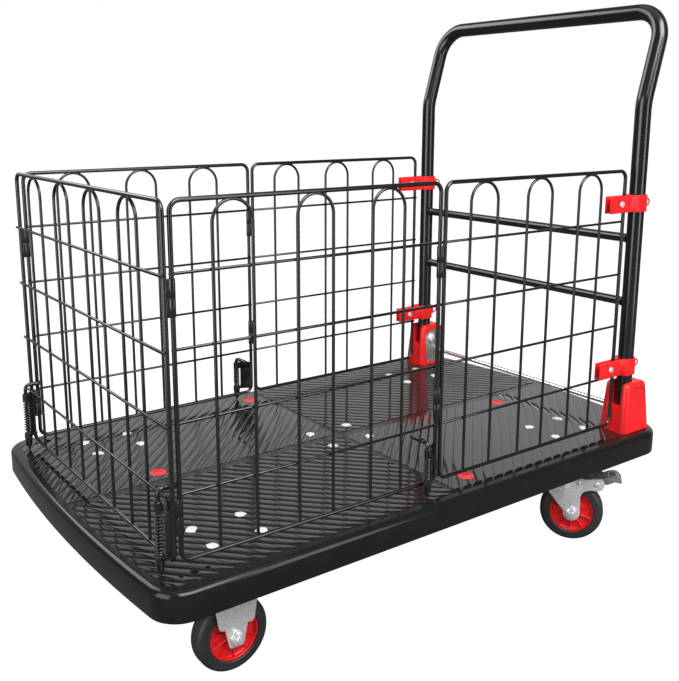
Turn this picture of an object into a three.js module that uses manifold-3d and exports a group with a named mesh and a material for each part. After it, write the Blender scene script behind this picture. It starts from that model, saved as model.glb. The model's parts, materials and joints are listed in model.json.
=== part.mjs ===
// Folding garden cart: a moulded platform on two fixed and two braked swivel
// castors, a push handle in two socket brackets, and a wire cage whose five
// panels fold inwards on clip hinges.
// Millimetres. +X is the front (the end away from the handle), +Y the left
// side, +Z up. The origin is on the floor below the middle of the platform.
import * as THREE from 'three';
import { mergeVertices } from 'three/addons/utils/BufferGeometryUtils.js';
import Module from 'manifold-3d';

const wasm = await Module();
wasm.setup();

// ---- clearances ------------------------------------------------------------
const SEAT_GAP = 0.3; // between pieces that rest on one another
const RUN_GAP = 0.4; // radial, round pins and wires that turn
const CROSS_GAP = 0.2; // between a cross wire and the arches it passes
const OVERRUN = 1; // cutters and buried ends run this far past a face

// ---- platform --------------------------------------------------------------
const DECK_LENGTH = 1000;
const DECK_WIDTH = 606;
const DECK_TOP = 202;
const SKIRT_HEIGHT = 40;
const DECK_WALL = 4;
const DECK_EDGE_RADIUS = 9;
const FRONT_EDGE_RADIUS = 2600; // plan radius of the bowed front edge
const REAR_EDGE_RADIUS = 1300; // plan radius of the bowed rear edge
const FRONT_CORNER = 42;
const REAR_CORNER = 50;
const RIB_THICKNESS = 3;
const RIB_DROP = 5; // ribs stop this far above the skirt's lower edge
const RIB_ROWS = 6; // ribs along the length
const RIB_COLUMNS = 11; // ribs across
const GRAB_BORE = 9; // large hole of the pin sockets
const GRAB_BORE_SMALL = 5;
const GRAB_PITCH = 18;
const GRAB_DEPTH = 20; // below the platform's top wall

// ---- castors ---------------------------------------------------------------
const WHEEL_RADIUS = 54;
const TYRE_WIDTH = 31;
const TYRE_SHOULDER = 8;
const WHEEL_SIDES = 18; // facets round tyre and core alike, so that they seat
const CORE_RADIUS = 37;
const HUB_RADIUS = 12;
const CORE_WEB = 9;
const CORE_RIBS = 6;
const RIM_WALL = 4;
const RIM_SET_IN = 3; // rim edge inside the tyre's side
const SPOKE_THICKNESS = 2;
const SPOKE_SET_IN = 6; // spoke edge inside the tyre's side
const AXLE_RADIUS = 5;
const AXLE_HEAD = 5; // thickness of bolt head and nut
const CASTOR_FROM_FRONT = 159; // castor plate's middle from the platform's end
const CASTOR_FROM_REAR = 182;
const CASTOR_FROM_SIDE = 111;
const TRAIL = 33;
const SWIVEL_ANGLE = 128.5; // degrees, the way both swivel castors trail
const PLATE_DROP = 22; // top face of the castor plates below the skirt's edge
const PLATE_THICKNESS = 3;
const BOLT_PITCH_X = 74;
const BOLT_PITCH_Y = 57;
const PLATE_MARGIN = 11; // from bolt centre to plate edge
const BOLT_HEAD_RADIUS = 7;
const BOSS_WALL = 4;
const PAD_THICKNESS = 5;
const FORK_SHEET = 2.5;
const FORK_SIDE_GAP = 3; // between tyre and fork cheek
const FORK_FOOT = 14; // radius of the cheek round the axle
const CROWN_DROP = 21; // top of the fork crown below the plate's top face
const CROWN_SHEET = 3;
const CROWN_BACK = -26; // rear edge of the swivel crown, from the kingpin
const CROWN_FRONT = 30; // front edge of the crown's flat top
const CHEEK_NOSE = 56; // front end of the cheek's top edge
const CHEEK_BACK_EDGE = 8; // height of the cheek's upright rear edge
const CHEEK_LEG_TOP = 84; // where the cheeks' straight leg edges end
const CHEEK_ARM = 13; // radius of the arm round the pedal's rivet
const CHEEK_NECK = [49, 97]; // control point of the curve under the arm
const RIGID_BAND = { top: 38, low: 34, height: 108 }; // half widths of the band
const RIGID_WAIST = [30, 92]; // control point of the curve below the band
const RIGID_LEG = 18; // half width of the leg at its top
const RIGID_LEG_RISE = 2; // where the leg's foot arc begins above the axle
const RACE_RADIUS = 27;
const RACE_HEIGHT = 5;
const CUP_TAPER = 4; // the upper race cup narrows by this much
const KINGPIN_RADIUS = 6;
const KINGPIN_END = 8; // below the crown's top
const KINGPIN_NUT = 9;
const RIVET_RADIUS = 2.5;
const RIVET_HEAD = 4.6;
const RIVET_PROUD = 2;
const RIVET_Z = 112;
const RIVET_NEAR = 42; // along the trail, from the kingpin
const RIVET_FAR = 73;
const PEDAL_WIDTH = 30;
const PEDAL_SHEET = 2.5;
const PEDAL_BARREL_WALL = 3;
const PEDAL_NECK = 5; // half length of the neck under the tread
// Tread and nose of the pedal, [forward, up] from the rivet it turns on.
const PEDAL_TREAD = [[-8, 7], [8, 8], [18, 14], [32, 16], [41, 7]];
const PEDAL_NOSE = [[-6, 0], [-5, -14], [1, -14], [6, 0]];

// ---- caps and the middle plate ------------------------------------------------
const CAP_RADIUS = 13;
const CAP_DEPTH = 3;
const CAP_STEM_RADIUS = 5;
const CAP_STEM = 8;
const CAP_FROM_END = 167;
const CAP_FROM_SIDE = 53;
const CAP_SHIFT_Y = -35; // front cap off the centre line; the rear one opposite
const CAP_SHIFT_X = -40; // left cap off the middle; the right one opposite
const MID_PLATE_X = 12;
const MID_PITCH_X = 77;
const MID_PITCH_Y = 66;
const MID_PLATE_THICKNESS = 3;

// ---- cage ------------------------------------------------------------------
const CAGE_FROM_SIDE = 45; // side panels and handle uprights from the platform's side
const CAGE_FROM_TUBE = 34.5; // rear edge wire in front of the handle's uprights
const CAGE_FROM_FRONT = 61; // side panels' front edge wire from the platform's end
const HINGE_PITCH = 9.5; // between the two edge wires of one hinge
const RAIL_RISE = 14.5; // centre of the lower rails above the platform
const CAGE_HEIGHT = 433; // rail centre to rail centre
const FRAME_WIRE = 3; // radius
const ARCH_WIRE = 2.2;
const CROSS_WIRE = 2;
const FRAME_BEND = 13;
const ARCH_WIDTH = 54;
const ARCH_DROP = 2.5; // arch tops below the upper rail's centre
const REAR_ARCHES = [59.7, 48.6]; // first and last arch from the panel's edge wires
const SIDE_ARCHES = [64.7, 52.9];
const FRONT_ARCHES = [52.5, 68.5];
const CROSS_COUNT = 4;
const CROSS_FIRST = 82.5; // lowest cross wire above the lower rail
const CROSS_PITCH = 88.8;
const FRONT_CROSS_END = 3; // front cross wires past the centre of the edge wires
const CLIP_SHEET = 0.8;
const CLIP_WEB = 2; // half thickness of the sheet between the two wires
const CLIP_LENGTH = 44;
const CLIP_LOW = 36; // clip's lower end above the lower rail
const CLIP_LOW_MID = 94;
const CLIP_HIGH = 300.5;

// ---- latches ---------------------------------------------------------------
const PLUNGER_RADIUS = 3;
const PLUNGER_TIP = 0.5; // tip above the platform when latched
const TIP_TAPER = 10;
const TIP_RADIUS = 1.5;
const GRIP_START = 2; // grip sleeve starts this far past the bend
const GRIP_LENGTH = 36;
const GRIP_RADIUS = 3.5;
const GRIP_BEND = 7;
const LATCH_FOOT = 23; // underside of the lower ear above the platform
const LATCH_EAR = 3;
const LATCH_WEB = 2.5;
const LATCH_WEB_GAP = 1.5; // between the web and the plunger's collar
const LATCH_EAR_MARGIN = 1;
const SLEEVE_WALL = 2;
const COLLAR_RADIUS = 5.6;
const COLLAR_HEIGHT = 3;
const SPRING_RADIUS = 5;
const SPRING_WIRE = 0.9;
const SPRING_TURNS = 5;
const LATCH_FRONT = { reach: [13.5, -11], spring: 53, sleeve: 12, grip: 109 };
const LATCH_MID = { reach: [25, 13], spring: 32, sleeve: 12, grip: 81 };

// ---- handle ----------------------------------------------------------------
const TUBE_RADIUS = 13;
const TUBE_WALL = 1.8;
const TUBE_FROM_REAR = 91; // uprights from the platform's rear end
const TUBE_FOOT_RISE = 12; // tube's lower end above the platform, in the bracket
const LEAN_START = 758; // height at which the uprights lean back
const LEAN = 16; // degrees
const HANDLE_TOP = 905; // centre line of the grip bar
const LEAN_BEND = 90;
const GRIP_CORNER = 50;
const RUNG_RADIUS = 7.5;
const RUNG_WALL = 1.5;
const RUNG_HEIGHTS = { rung_upper: 535, rung_lower: 426 };

// ---- clamps ----------------------------------------------------------------
const CLAMP_HEIGHTS = { upper: 595.5, lower: 316 };
const CLAMP_TALL = 28;
const CLAMP_SHEET = 3;
const CLAMP_REACH = 82.5; // from the tube's axis to the tails' front ends
const CLAMP_SCREW_REACH = 47;
const CLAMP_SCREW = 2.5;
const CLAMP_BOSS = 6;
const CLAMP_BOSS_HALF = { width: 5, height: 8 };
const CLAMP_HEAD = 2; // how far the screw's heads stand out
const CLAMP_CORNER = 2;
const PIN_RADIUS = 2.2;
const PIN_TAIL = 2; // pin behind the boss
const RING_RADIUS = 5.5;
const RING_WIRE = 1.2;

// ---- handle brackets -------------------------------------------------------
// Plan of the bracket at its foot and its top, measured from the tube's axis.
const BRACKET_FOOT = { front: 29, rear: -43, half: 28 };
const BRACKET_HEAD = { front: 21, rear: -33, half: 22.5 };
const BRACKET_HEIGHT = 86;
const BRACKET_CORNER = 9;
const BRACKET_ROUND = 7;
const BRACKET_FLOOR = 2; // free height below the tube's foot
const SLOT_RISE = 45; // floor of the front slot above the platform
const PIVOT_RISE = 60;
const PIVOT_RADIUS = 4;
const PIVOT_HEAD_RADIUS = 9;
const PIVOT_HEAD = 3;
const PIVOT_COVER = 3; // bracket wall left outside the pin's end
const SIDE_PLATE = 2.5;
const SIDE_PLATE_DEPTH = 1.5; // how deep the plate's seat is cut at the bracket's top
const SIDE_PLATE_CORNER = 12;
// Ends of the steel plate, from the tube's axis and above the platform.
const SIDE_PLATE_BOX = { front: 15, rear: -37, low: 4, high: 75 };
const RELEASE_BEHIND = 26; // release bar behind the tube's axis
const RELEASE_RISE = 27;
const RELEASE_RADIUS = 4;
const RELEASE_TRAVEL = 8;
const RELEASE_ENTRY = 12; // how far the bar's ends go into the brackets
const RELEASE_END_GAP = 2; // beyond each end of the bar

// ---- worked-out sizes ------------------------------------------------------
const SKIRT_BOTTOM = DECK_TOP - SKIRT_HEIGHT;
const DECK_UNDER = DECK_TOP - DECK_WALL;
const FRONT_CASTOR_X = DECK_LENGTH / 2 - CASTOR_FROM_FRONT;
const REAR_CASTOR_X = CASTOR_FROM_REAR - DECK_LENGTH / 2;
const CASTOR_Y = DECK_WIDTH / 2 - CASTOR_FROM_SIDE;
const PLATE_TOP = SKIRT_BOTTOM - PLATE_DROP;
const CROWN_TOP = PLATE_TOP - CROWN_DROP;
const CAP_END = [DECK_LENGTH / 2 - CAP_FROM_END, CAP_SHIFT_Y];
const CAP_SIDE = [CAP_SHIFT_X, DECK_WIDTH / 2 - CAP_FROM_SIDE];
const TUBE_X = TUBE_FROM_REAR - DECK_LENGTH / 2;
const TUBE_FOOT = DECK_TOP + TUBE_FOOT_RISE;
const SLOT_FLOOR = DECK_TOP + SLOT_RISE;
const PIVOT_Z = DECK_TOP + PIVOT_RISE;
const RELEASE_X = TUBE_X - RELEASE_BEHIND;
const RELEASE_Z = DECK_TOP + RELEASE_RISE;
const CAGE_Y = DECK_WIDTH / 2 - CAGE_FROM_SIDE;
const CAGE_REAR = TUBE_X + CAGE_FROM_TUBE;
const CAGE_FRONT = DECK_LENGTH / 2 - CAGE_FROM_FRONT;
const RAIL_LOW = DECK_TOP + RAIL_RISE;
const RAIL_HIGH = RAIL_LOW + CAGE_HEIGHT;
const CAGE_MIDDLE = (CAGE_REAR + CAGE_FRONT) / 2; // axis of the middle hinges
const FRONT_PLANE = CAGE_FRONT + HINGE_PITCH;
const CROSS_OFFSET = ARCH_WIRE + CROSS_WIRE + CROSS_GAP;
const CHEEK_INNER = TYRE_WIDTH / 2 + FORK_SIDE_GAP;
const CHEEK_OUTER = CHEEK_INNER + FORK_SHEET;
const PLATE_UNDER = PLATE_TOP - PLATE_THICKNESS;

// ---- materials -------------------------------------------------------------
const finish = (color, roughness, metalness) => ({ color, roughness, metalness });
const BLACK_PLASTIC = finish(0x1a1a1b, 0.35, 0);
const BLACK_PAINT = finish(0x151516, 0.3, 0.2);
const RED_PLASTIC = finish(0xd81e1e, 0.35, 0);
const RUBBER = finish(0x202020, 0.8, 0);
const ZINC = finish(0xc9cbcd, 0.35, 1);
const CHROME = finish(0xe6e7e8, 0.1, 1);
const GREY_STEEL = finish(0x8d8f91, 0.4, 1);

// ---- solids ----------------------------------------------------------------
function solid(geometry) {
  const bare = geometry.clone();
  bare.deleteAttribute('normal');
  bare.deleteAttribute('uv');
  const merged = mergeVertices(bare, 1e-4);
  const mesh = new wasm.Mesh({
    numProp: 3,
    vertProperties: new Float32Array(merged.attributes.position.array),
    triVerts: new Uint32Array(merged.index.array),
  });
  return new wasm.Manifold(mesh);
}

function geometryOf(body) {
  const mesh = body.getMesh();
  const geometry = new THREE.BufferGeometry();
  const positions = new Float32Array(mesh.numVert * 3);
  for (let vertex = 0; vertex < mesh.numVert; vertex += 1) {
    for (let axis = 0; axis < 3; axis += 1) {
      positions[vertex * 3 + axis] = mesh.vertProperties[vertex * mesh.numProp + axis];
    }
  }
  geometry.setAttribute('position', new THREE.BufferAttribute(positions, 3));
  geometry.setIndex(Array.from(mesh.triVerts));
  geometry.computeVertexNormals();
  return geometry;
}

const join = (bodies) => bodies.reduce((whole, body) => whole.add(body));
const cut = (body, tools) => tools.reduce((rest, tool) => rest.subtract(tool), body);

// An axis-aligned block between two corners.
function block(x0, x1, y0, y1, z0, z1) {
  const geometry = new THREE.BoxGeometry(x1 - x0, y1 - y0, z1 - z0);
  geometry.translate((x0 + x1) / 2, (y0 + y1) / 2, (z0 + z1) / 2);
  return solid(geometry);
}

// A round bar along Z, X or Y between two heights on its own axis.
function bar(axis, radius, from, to, centre, sides = 16, endRadius = radius) {
  const geometry = new THREE.CylinderGeometry(endRadius, radius, to - from, sides);
  geometry.translate(0, (from + to) / 2, 0);
  if (axis === 'z') {
    geometry.rotateX(Math.PI / 2);
    geometry.translate(centre[0], centre[1], 0);
  } else if (axis === 'x') {
    geometry.rotateZ(-Math.PI / 2);
    geometry.translate(0, centre[0], centre[1]);
  } else {
    geometry.translate(centre[0], 0, centre[1]);
  }
  return solid(geometry);
}

// A closed solid through rings of points, each ring level and anticlockwise.
function loft(rings) {
  const count = rings[0].points.length;
  const positions = [];
  const index = [];
  for (const ring of rings) {
    for (const point of ring.points) positions.push(point.x, point.y, ring.z);
  }
  for (let level = 0; level + 1 < rings.length; level += 1) {
    for (let i = 0; i < count; i += 1) {
      const a = level * count + i;
      const b = level * count + ((i + 1) % count);
      index.push(a, b, b + count, a, b + count, a + count);
    }
  }
  const top = (rings.length - 1) * count;
  for (const [a, b, c] of THREE.ShapeUtils.triangulateShape(rings[0].points, [])) {
    index.push(a, c, b);
  }
  for (const [a, b, c] of THREE.ShapeUtils.triangulateShape(rings.at(-1).points, [])) {
    index.push(top + a, top + b, top + c);
  }
  const geometry = new THREE.BufferGeometry();
  geometry.setAttribute('position', new THREE.Float32BufferAttribute(positions, 3));
  geometry.setIndex(index);
  return solid(geometry);
}

// A path that keeps exactly the stations it is given.
class StationPath extends THREE.Curve {
  constructor(stations) {
    super();
    this.stations = stations;
  }

  getPoint(t) {
    return this.stations[Math.round(t * (this.stations.length - 1))].clone();
  }

  getPointAt(t) {
    return this.getPoint(t);
  }

  getTangentAt(t) {
    const last = this.stations.length - 1;
    const here = Math.round(t * last);
    const loops = this.stations[0].equals(this.stations[last]);
    const before = this.stations[here > 0 || !loops ? Math.max(here - 1, 0) : last - 1];
    const after = this.stations[here < last || !loops ? Math.min(here + 1, last) : 1];
    const inward = this.stations[here].clone().sub(before).normalize();
    const outward = after.clone().sub(this.stations[here]).normalize();
    return inward.add(outward).normalize();
  }

  getSpacedPoints(divisions) {
    return Array.from({ length: divisions + 1 }, (_, i) => this.getPoint(i / divisions));
  }
}

// Stations of a line through corners, each corner bent to its radius.
function bentLine(corners, radii, steps, gentleSteps = steps) {
  const stations = [corners[0]];
  for (let i = 1; i + 1 < corners.length; i += 1) {
    const inward = corners[i].clone().sub(corners[i - 1]).normalize();
    const outward = corners[i + 1].clone().sub(corners[i]).normalize();
    const turn = inward.angleTo(outward);
    const setback = radii[i - 1] * Math.tan(turn / 2);
    const start = corners[i].clone().addScaledVector(inward, -setback);
    const side = outward.clone().addScaledVector(inward, -outward.dot(inward)).normalize();
    const centre = start.clone().addScaledVector(side, radii[i - 1]);
    const count = turn > Math.PI / 6 ? steps : gentleSteps;
    for (let step = 0; step <= count; step += 1) {
      const angle = (turn * step) / count;
      const point = centre.clone();
      point.addScaledVector(side, -radii[i - 1] * Math.cos(angle));
      point.addScaledVector(inward, radii[i - 1] * Math.sin(angle));
      stations.push(point);
    }
  }
  stations.push(corners.at(-1));
  return stations;
}

function circle(radius, sides, turn = Math.PI / sides) {
  return Array.from({ length: sides }, (_, i) => {
    const angle = turn + (i * 2 * Math.PI) / sides;
    return new THREE.Vector2(radius * Math.cos(angle), radius * Math.sin(angle));
  });
}

// A wire or tube that follows stations; a bore makes it hollow.
function wire(stations, radius, sides, bore = 0, boreSides = 8) {
  const section = new THREE.Shape(circle(radius, sides));
  if (bore > 0) section.holes.push(new THREE.Path(circle(bore, boreSides)));
  const extrudePath = new StationPath(stations);
  const settings = { extrudePath, steps: stations.length - 1, bevelEnabled: false };
  return solid(new THREE.ExtrudeGeometry(section, settings));
}

// A wire bent into a closed loop, whose last station repeats the first.
function closedWire(stations, radius, sides) {
  const path = new StationPath(stations);
  return solid(new THREE.TubeGeometry(path, stations.length - 1, radius, sides, true));
}

// A plate standing on edge: an outline in X and Z, thickened along Y.
function cheek(shape, y0, y1, curveSegments = 3) {
  const settings = { depth: y1 - y0, bevelEnabled: false, curveSegments };
  const geometry = new THREE.ExtrudeGeometry(shape, settings);
  geometry.rotateX(Math.PI / 2);
  geometry.translate(0, y1, 0);
  return solid(geometry);
}

// A level plate: an outline in X and Y, thickened along Z.
function slab(shape, z0, z1, curveSegments = 8) {
  const settings = { depth: z1 - z0, bevelEnabled: false, curveSegments };
  const geometry = new THREE.ExtrudeGeometry(shape, settings);
  geometry.translate(0, 0, z0);
  return solid(geometry);
}

// A turned piece about the Y axis, from a closed profile of radius and place.
function turned(profile, sides) {
  const points = profile.map(([radius, place]) => new THREE.Vector2(radius, place));
  if (profile[0][0] > 0) points.push(points[0]);
  return solid(new THREE.LatheGeometry(points, sides));
}

function roundedRectangle(x0, x1, y0, y1, radius, steps) {
  const centres = [
    [x1 - radius, y1 - radius, 0],
    [x0 + radius, y1 - radius, 1],
    [x0 + radius, y0 + radius, 2],
    [x1 - radius, y0 + radius, 3],
  ];
  const points = [];
  for (const [cx, cy, quarter] of centres) {
    for (let step = 0; step <= steps; step += 1) {
      const angle = ((quarter + step / steps) * Math.PI) / 2;
      const offset = new THREE.Vector2(Math.cos(angle), Math.sin(angle));
      points.push(offset.multiplyScalar(radius).add(new THREE.Vector2(cx, cy)));
    }
  }
  return points;
}

// ---- scene graph -----------------------------------------------------------
const cart = new THREE.Group();

function place(name, body, look, parent = cart) {
  const mesh = new THREE.Mesh(geometryOf(body), new THREE.MeshStandardMaterial(look));
  mesh.name = name;
  parent.add(mesh);
  return mesh;
}

const halfTurn = ([x, y]) => [-x, -y];
const caps = {
  cap_front: CAP_END,
  cap_rear: halfTurn(CAP_END),
  cap_left: CAP_SIDE,
  cap_right: halfTurn(CAP_SIDE),
};
const castorSpots = {
  front_left: [FRONT_CASTOR_X, CASTOR_Y],
  front_right: [FRONT_CASTOR_X, -CASTOR_Y],
  rear_left: [REAR_CASTOR_X, CASTOR_Y],
  rear_right: [REAR_CASTOR_X, -CASTOR_Y],
};

// ---- platform --------------------------------------------------------------
// The plan outline, moved in by inset: straight sides, bowed ends, round corners.
function deckOutline(inset) {
  const points = [];
  const end = (edgeRadius, corner, direction) => {
    const cy = DECK_WIDTH / 2 - corner;
    const run = Math.sqrt((edgeRadius - corner) ** 2 - cy ** 2);
    const ex = DECK_LENGTH / 2 - edgeRadius;
    const cx = ex + run;
    const spread = Math.atan2(cy, run);
    const half = [];
    const cornerSteps = 4;
    for (let step = 0; step <= cornerSteps; step += 1) {
      const angle = Math.PI / 2 + ((spread - Math.PI / 2) * step) / cornerSteps;
      const reach = corner - inset;
      half.push([cx + reach * Math.cos(angle), cy + reach * Math.sin(angle)]);
    }
    const bowSteps = 2;
    for (let step = 1; step < bowSteps; step += 1) {
      const angle = (spread * (bowSteps - step)) / bowSteps;
      const reach = edgeRadius - inset;
      half.push([ex + reach * Math.cos(angle), reach * Math.sin(angle)]);
    }
    const middle = [[DECK_LENGTH / 2 - inset, 0]];
    const mirrored = half.map(([x, y]) => [x, -y]).reverse();
    const whole = [...half, ...middle, ...mirrored];
    for (const [x, y] of whole) points.push(new THREE.Vector2(direction * x, direction * y));
  };
  end(FRONT_EDGE_RADIUS, FRONT_CORNER, 1);
  end(REAR_EDGE_RADIUS, REAR_CORNER, -1);
  return points.reverse();
}

function makeDeck() {
  const edgeSteps = 3;
  const rings = [{ points: deckOutline(0), z: SKIRT_BOTTOM }];
  for (let step = 0; step <= edgeSteps; step += 1) {
    const angle = (Math.PI / 2 / edgeSteps) * step;
    const inset = DECK_EDGE_RADIUS * (1 - Math.cos(angle));
    const z = DECK_TOP - DECK_EDGE_RADIUS * (1 - Math.sin(angle));
    rings.push({ points: deckOutline(inset), z });
  }
  const cavity = loft([
    { points: deckOutline(DECK_WALL), z: SKIRT_BOTTOM - OVERRUN },
    { points: deckOutline(DECK_WALL), z: DECK_UNDER - DECK_EDGE_RADIUS / 2 },
    { points: deckOutline(DECK_WALL + DECK_EDGE_RADIUS / 2), z: DECK_UNDER },
  ]);
  const shell = loft(rings).subtract(cavity);
  const ribLow = SKIRT_BOTTOM + RIB_DROP;
  const web = (x0, x1, y0, y1) => block(x0, x1, y0, y1, ribLow, DECK_UNDER + OVERRUN);
  const half = RIB_THICKNESS / 2;
  const ribs = [];
  for (let row = 1; row <= RIB_ROWS; row += 1) {
    const y = DECK_WIDTH * (row / (RIB_ROWS + 1) - 0.5);
    ribs.push(web(-DECK_LENGTH / 2, DECK_LENGTH / 2, y - half, y + half));
  }
  for (let column = 1; column <= RIB_COLUMNS; column += 1) {
    const x = DECK_LENGTH * (column / (RIB_COLUMNS + 1) - 0.5);
    ribs.push(web(x - half, x + half, -DECK_WIDTH / 2, DECK_WIDTH / 2));
  }
  const grid = join(ribs).intersect(loft([
    { points: deckOutline(DECK_WALL / 2), z: SKIRT_BOTTOM },
    { points: deckOutline(DECK_WALL + DECK_EDGE_RADIUS / 2), z: DECK_TOP - DECK_WALL / 2 },
  ]));
  const padX = BOLT_PITCH_X / 2 + PLATE_MARGIN;
  const padY = BOLT_PITCH_Y / 2 + PLATE_MARGIN;
  const padLow = PLATE_TOP + SEAT_GAP;
  const bossTop = DECK_UNDER + OVERRUN;
  const boss = BOLT_HEAD_RADIUS + BOSS_WALL;
  const additions = [shell, grid];
  const holes = [];
  for (const [cx, cy] of Object.values(castorSpots)) {
    const plate = roundedRectangle(cx - padX, cx + padX, cy - padY, cy + padY, BOSS_WALL, 2);
    additions.push(slab(new THREE.Shape(plate), padLow, padLow + PAD_THICKNESS));
    for (const row of [-1, 1]) {
      const y = cy + (row * BOLT_PITCH_Y) / 2;
      const wall = [cx - padX + OVERRUN, cx + padX - OVERRUN, y - boss, y + boss];
      additions.push(block(...wall, padLow + OVERRUN, bossTop));
    }
  }
  for (const row of [-1, 1]) {
    const y = (row * MID_PITCH_Y) / 2;
    const reach = MID_PITCH_X / 2 + boss;
    const wall = [MID_PLATE_X - reach, MID_PLATE_X + reach, y - boss, y + boss];
    additions.push(block(...wall, ribLow, bossTop));
  }
  for (const [x, y] of Object.values(caps)) {
    const stem = CAP_STEM_RADIUS + SEAT_GAP;
    const floor = DECK_TOP - CAP_DEPTH - SEAT_GAP;
    const bossFloor = DECK_TOP - CAP_STEM - CAP_DEPTH;
    additions.push(bar('z', CAP_RADIUS + BOSS_WALL, bossFloor, bossTop, [x, y], 12));
    holes.push(bar('z', stem, bossFloor - OVERRUN, DECK_TOP, [x, y], 8));
    holes.push(bar('z', CAP_RADIUS + SEAT_GAP, floor, DECK_TOP + OVERRUN, [x, y], 16));
  }
  for (const side of [1, -1]) {
    const x = FRONT_PLANE + LATCH_FRONT.reach[0];
    const y = side * (CAGE_Y + LATCH_FRONT.reach[1] + GRAB_PITCH);
    const sockets = [[0, GRAB_BORE_SMALL], [1, GRAB_BORE], [2, GRAB_BORE_SMALL]];
    for (const [step, diameter] of sockets) {
      const spot = [x - (step + 1) * GRAB_PITCH, y];
      holes.push(bar('z', diameter / 2, DECK_UNDER - GRAB_DEPTH, DECK_TOP + OVERRUN, spot, 8));
    }
  }
  return cut(join(additions), holes);
}

function makeCap() {
  const disc = bar('z', CAP_RADIUS, DECK_TOP - CAP_DEPTH, DECK_TOP, [0, 0], 16);
  const foot = DECK_TOP - CAP_DEPTH - CAP_STEM;
  return disc.add(bar('z', CAP_STEM_RADIUS, foot, DECK_TOP - OVERRUN, [0, 0], 8));
}

function makeMidPlate() {
  const top = SKIRT_BOTTOM + RIB_DROP - SEAT_GAP;
  const halfX = MID_PITCH_X / 2 + PLATE_MARGIN;
  const halfY = MID_PITCH_Y / 2 + PLATE_MARGIN;
  const [x0, x1] = [MID_PLATE_X - halfX, MID_PLATE_X + halfX];
  const outline = roundedRectangle(x0, x1, -halfY, halfY, BOSS_WALL, 2);
  return slab(new THREE.Shape(outline), top - MID_PLATE_THICKNESS, top);
}

place('deck', makeDeck(), BLACK_PLASTIC);
place('center_plate', makeMidPlate(), ZINC);
for (const [name, [x, y]] of Object.entries(caps)) {
  place(name, makeCap(), RED_PLASTIC).position.set(x, y, 0);
}

// ---- castors ---------------------------------------------------------------
// Each castor is drawn about its own plate centre, trailing along +X.
function makeTyre() {
  const half = TYRE_WIDTH / 2;
  const bore = CORE_RADIUS + SEAT_GAP;
  return turned([
    [bore, -half],
    [WHEEL_RADIUS - TYRE_SHOULDER, -half],
    [WHEEL_RADIUS - TYRE_SHOULDER / 4, -half + TYRE_SHOULDER / 2],
    [WHEEL_RADIUS, -half + TYRE_SHOULDER],
    [WHEEL_RADIUS, half - TYRE_SHOULDER],
    [WHEEL_RADIUS - TYRE_SHOULDER / 4, half - TYRE_SHOULDER / 2],
    [WHEEL_RADIUS - TYRE_SHOULDER, half],
    [bore, half],
  ], WHEEL_SIDES);
}

function makeWheelCore() {
  const rim = TYRE_WIDTH / 2 - RIM_SET_IN;
  const hub = CHEEK_INNER - SEAT_GAP;
  const web = CORE_WEB / 2;
  const bore = AXLE_RADIUS + RUN_GAP;
  const rimInner = CORE_RADIUS - RIM_WALL;
  const spokeSize = [2 * rimInner + RIM_WALL, TYRE_WIDTH - 2 * SPOKE_SET_IN, SPOKE_THICKNESS];
  const disc = turned([
    [0, -hub],
    [HUB_RADIUS, -hub],
    [HUB_RADIUS, -web],
    [rimInner, -web],
    [rimInner, -rim],
    [CORE_RADIUS, -rim],
    [CORE_RADIUS, rim],
    [rimInner, rim],
    [rimInner, web],
    [HUB_RADIUS, web],
    [HUB_RADIUS, hub],
    [0, hub],
  ], WHEEL_SIDES);
  const spokes = [];
  for (let i = 0; i < CORE_RIBS / 2; i += 1) {
    const spoke = new THREE.BoxGeometry(...spokeSize);
    spoke.rotateY((i * 2 * Math.PI) / CORE_RIBS);
    spokes.push(solid(spoke));
  }
  return join([disc, ...spokes])
    .subtract(bar('y', bore, -hub - OVERRUN, hub + OVERRUN, [0, 0], 8));
}

function makeAxle() {
  const face = CHEEK_OUTER + SEAT_GAP;
  const end = face + AXLE_HEAD;
  const shank = bar('y', AXLE_RADIUS, -end, end, [0, 0], 8);
  const nut = bar('y', 2 * AXLE_RADIUS, face, end, [0, 0], 6);
  const head = bar('y', 2 * AXLE_RADIUS, -end, -face, [0, 0], 6);
  return join([shank, nut, head]);
}

// Fork cheek of a swivel castor, with the arm that carries the brake pedal.
function swivelCheekShape() {
  const shape = new THREE.Shape();
  const armStart = -Math.PI / 2;
  const armEnd = Math.PI * 0.3;
  shape.moveTo(CROWN_BACK, CROWN_TOP);
  shape.lineTo(CROWN_BACK, CROWN_TOP - CHEEK_BACK_EDGE);
  shape.absarc(TRAIL, WHEEL_RADIUS, FORK_FOOT, Math.PI * 0.93, Math.PI * 2, false);
  shape.lineTo(TRAIL + FORK_FOOT, CHEEK_LEG_TOP);
  shape.quadraticCurveTo(...CHEEK_NECK, RIVET_FAR - CHEEK_ARM / 2, RIVET_Z - CHEEK_ARM);
  shape.absarc(RIVET_FAR, RIVET_Z, CHEEK_ARM, armStart, armEnd, false);
  shape.lineTo(CHEEK_NOSE, CROWN_TOP);
  shape.closePath();
  return shape;
}

function rigidCheekShape() {
  const shape = new THREE.Shape();
  const { top, low, height } = RIGID_BAND;
  const [waistX, waistZ] = RIGID_WAIST;
  shape.moveTo(-top, PLATE_UNDER + OVERRUN);
  shape.lineTo(-low, height);
  shape.quadraticCurveTo(-waistX, waistZ, -RIGID_LEG, CHEEK_LEG_TOP);
  shape.lineTo(-FORK_FOOT, WHEEL_RADIUS + RIGID_LEG_RISE);
  shape.absarc(0, WHEEL_RADIUS, FORK_FOOT, Math.PI, Math.PI * 2, false);
  shape.lineTo(RIGID_LEG, CHEEK_LEG_TOP);
  shape.quadraticCurveTo(waistX, waistZ, low, height);
  shape.lineTo(top, PLATE_UNDER + OVERRUN);
  shape.closePath();
  return shape;
}

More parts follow.
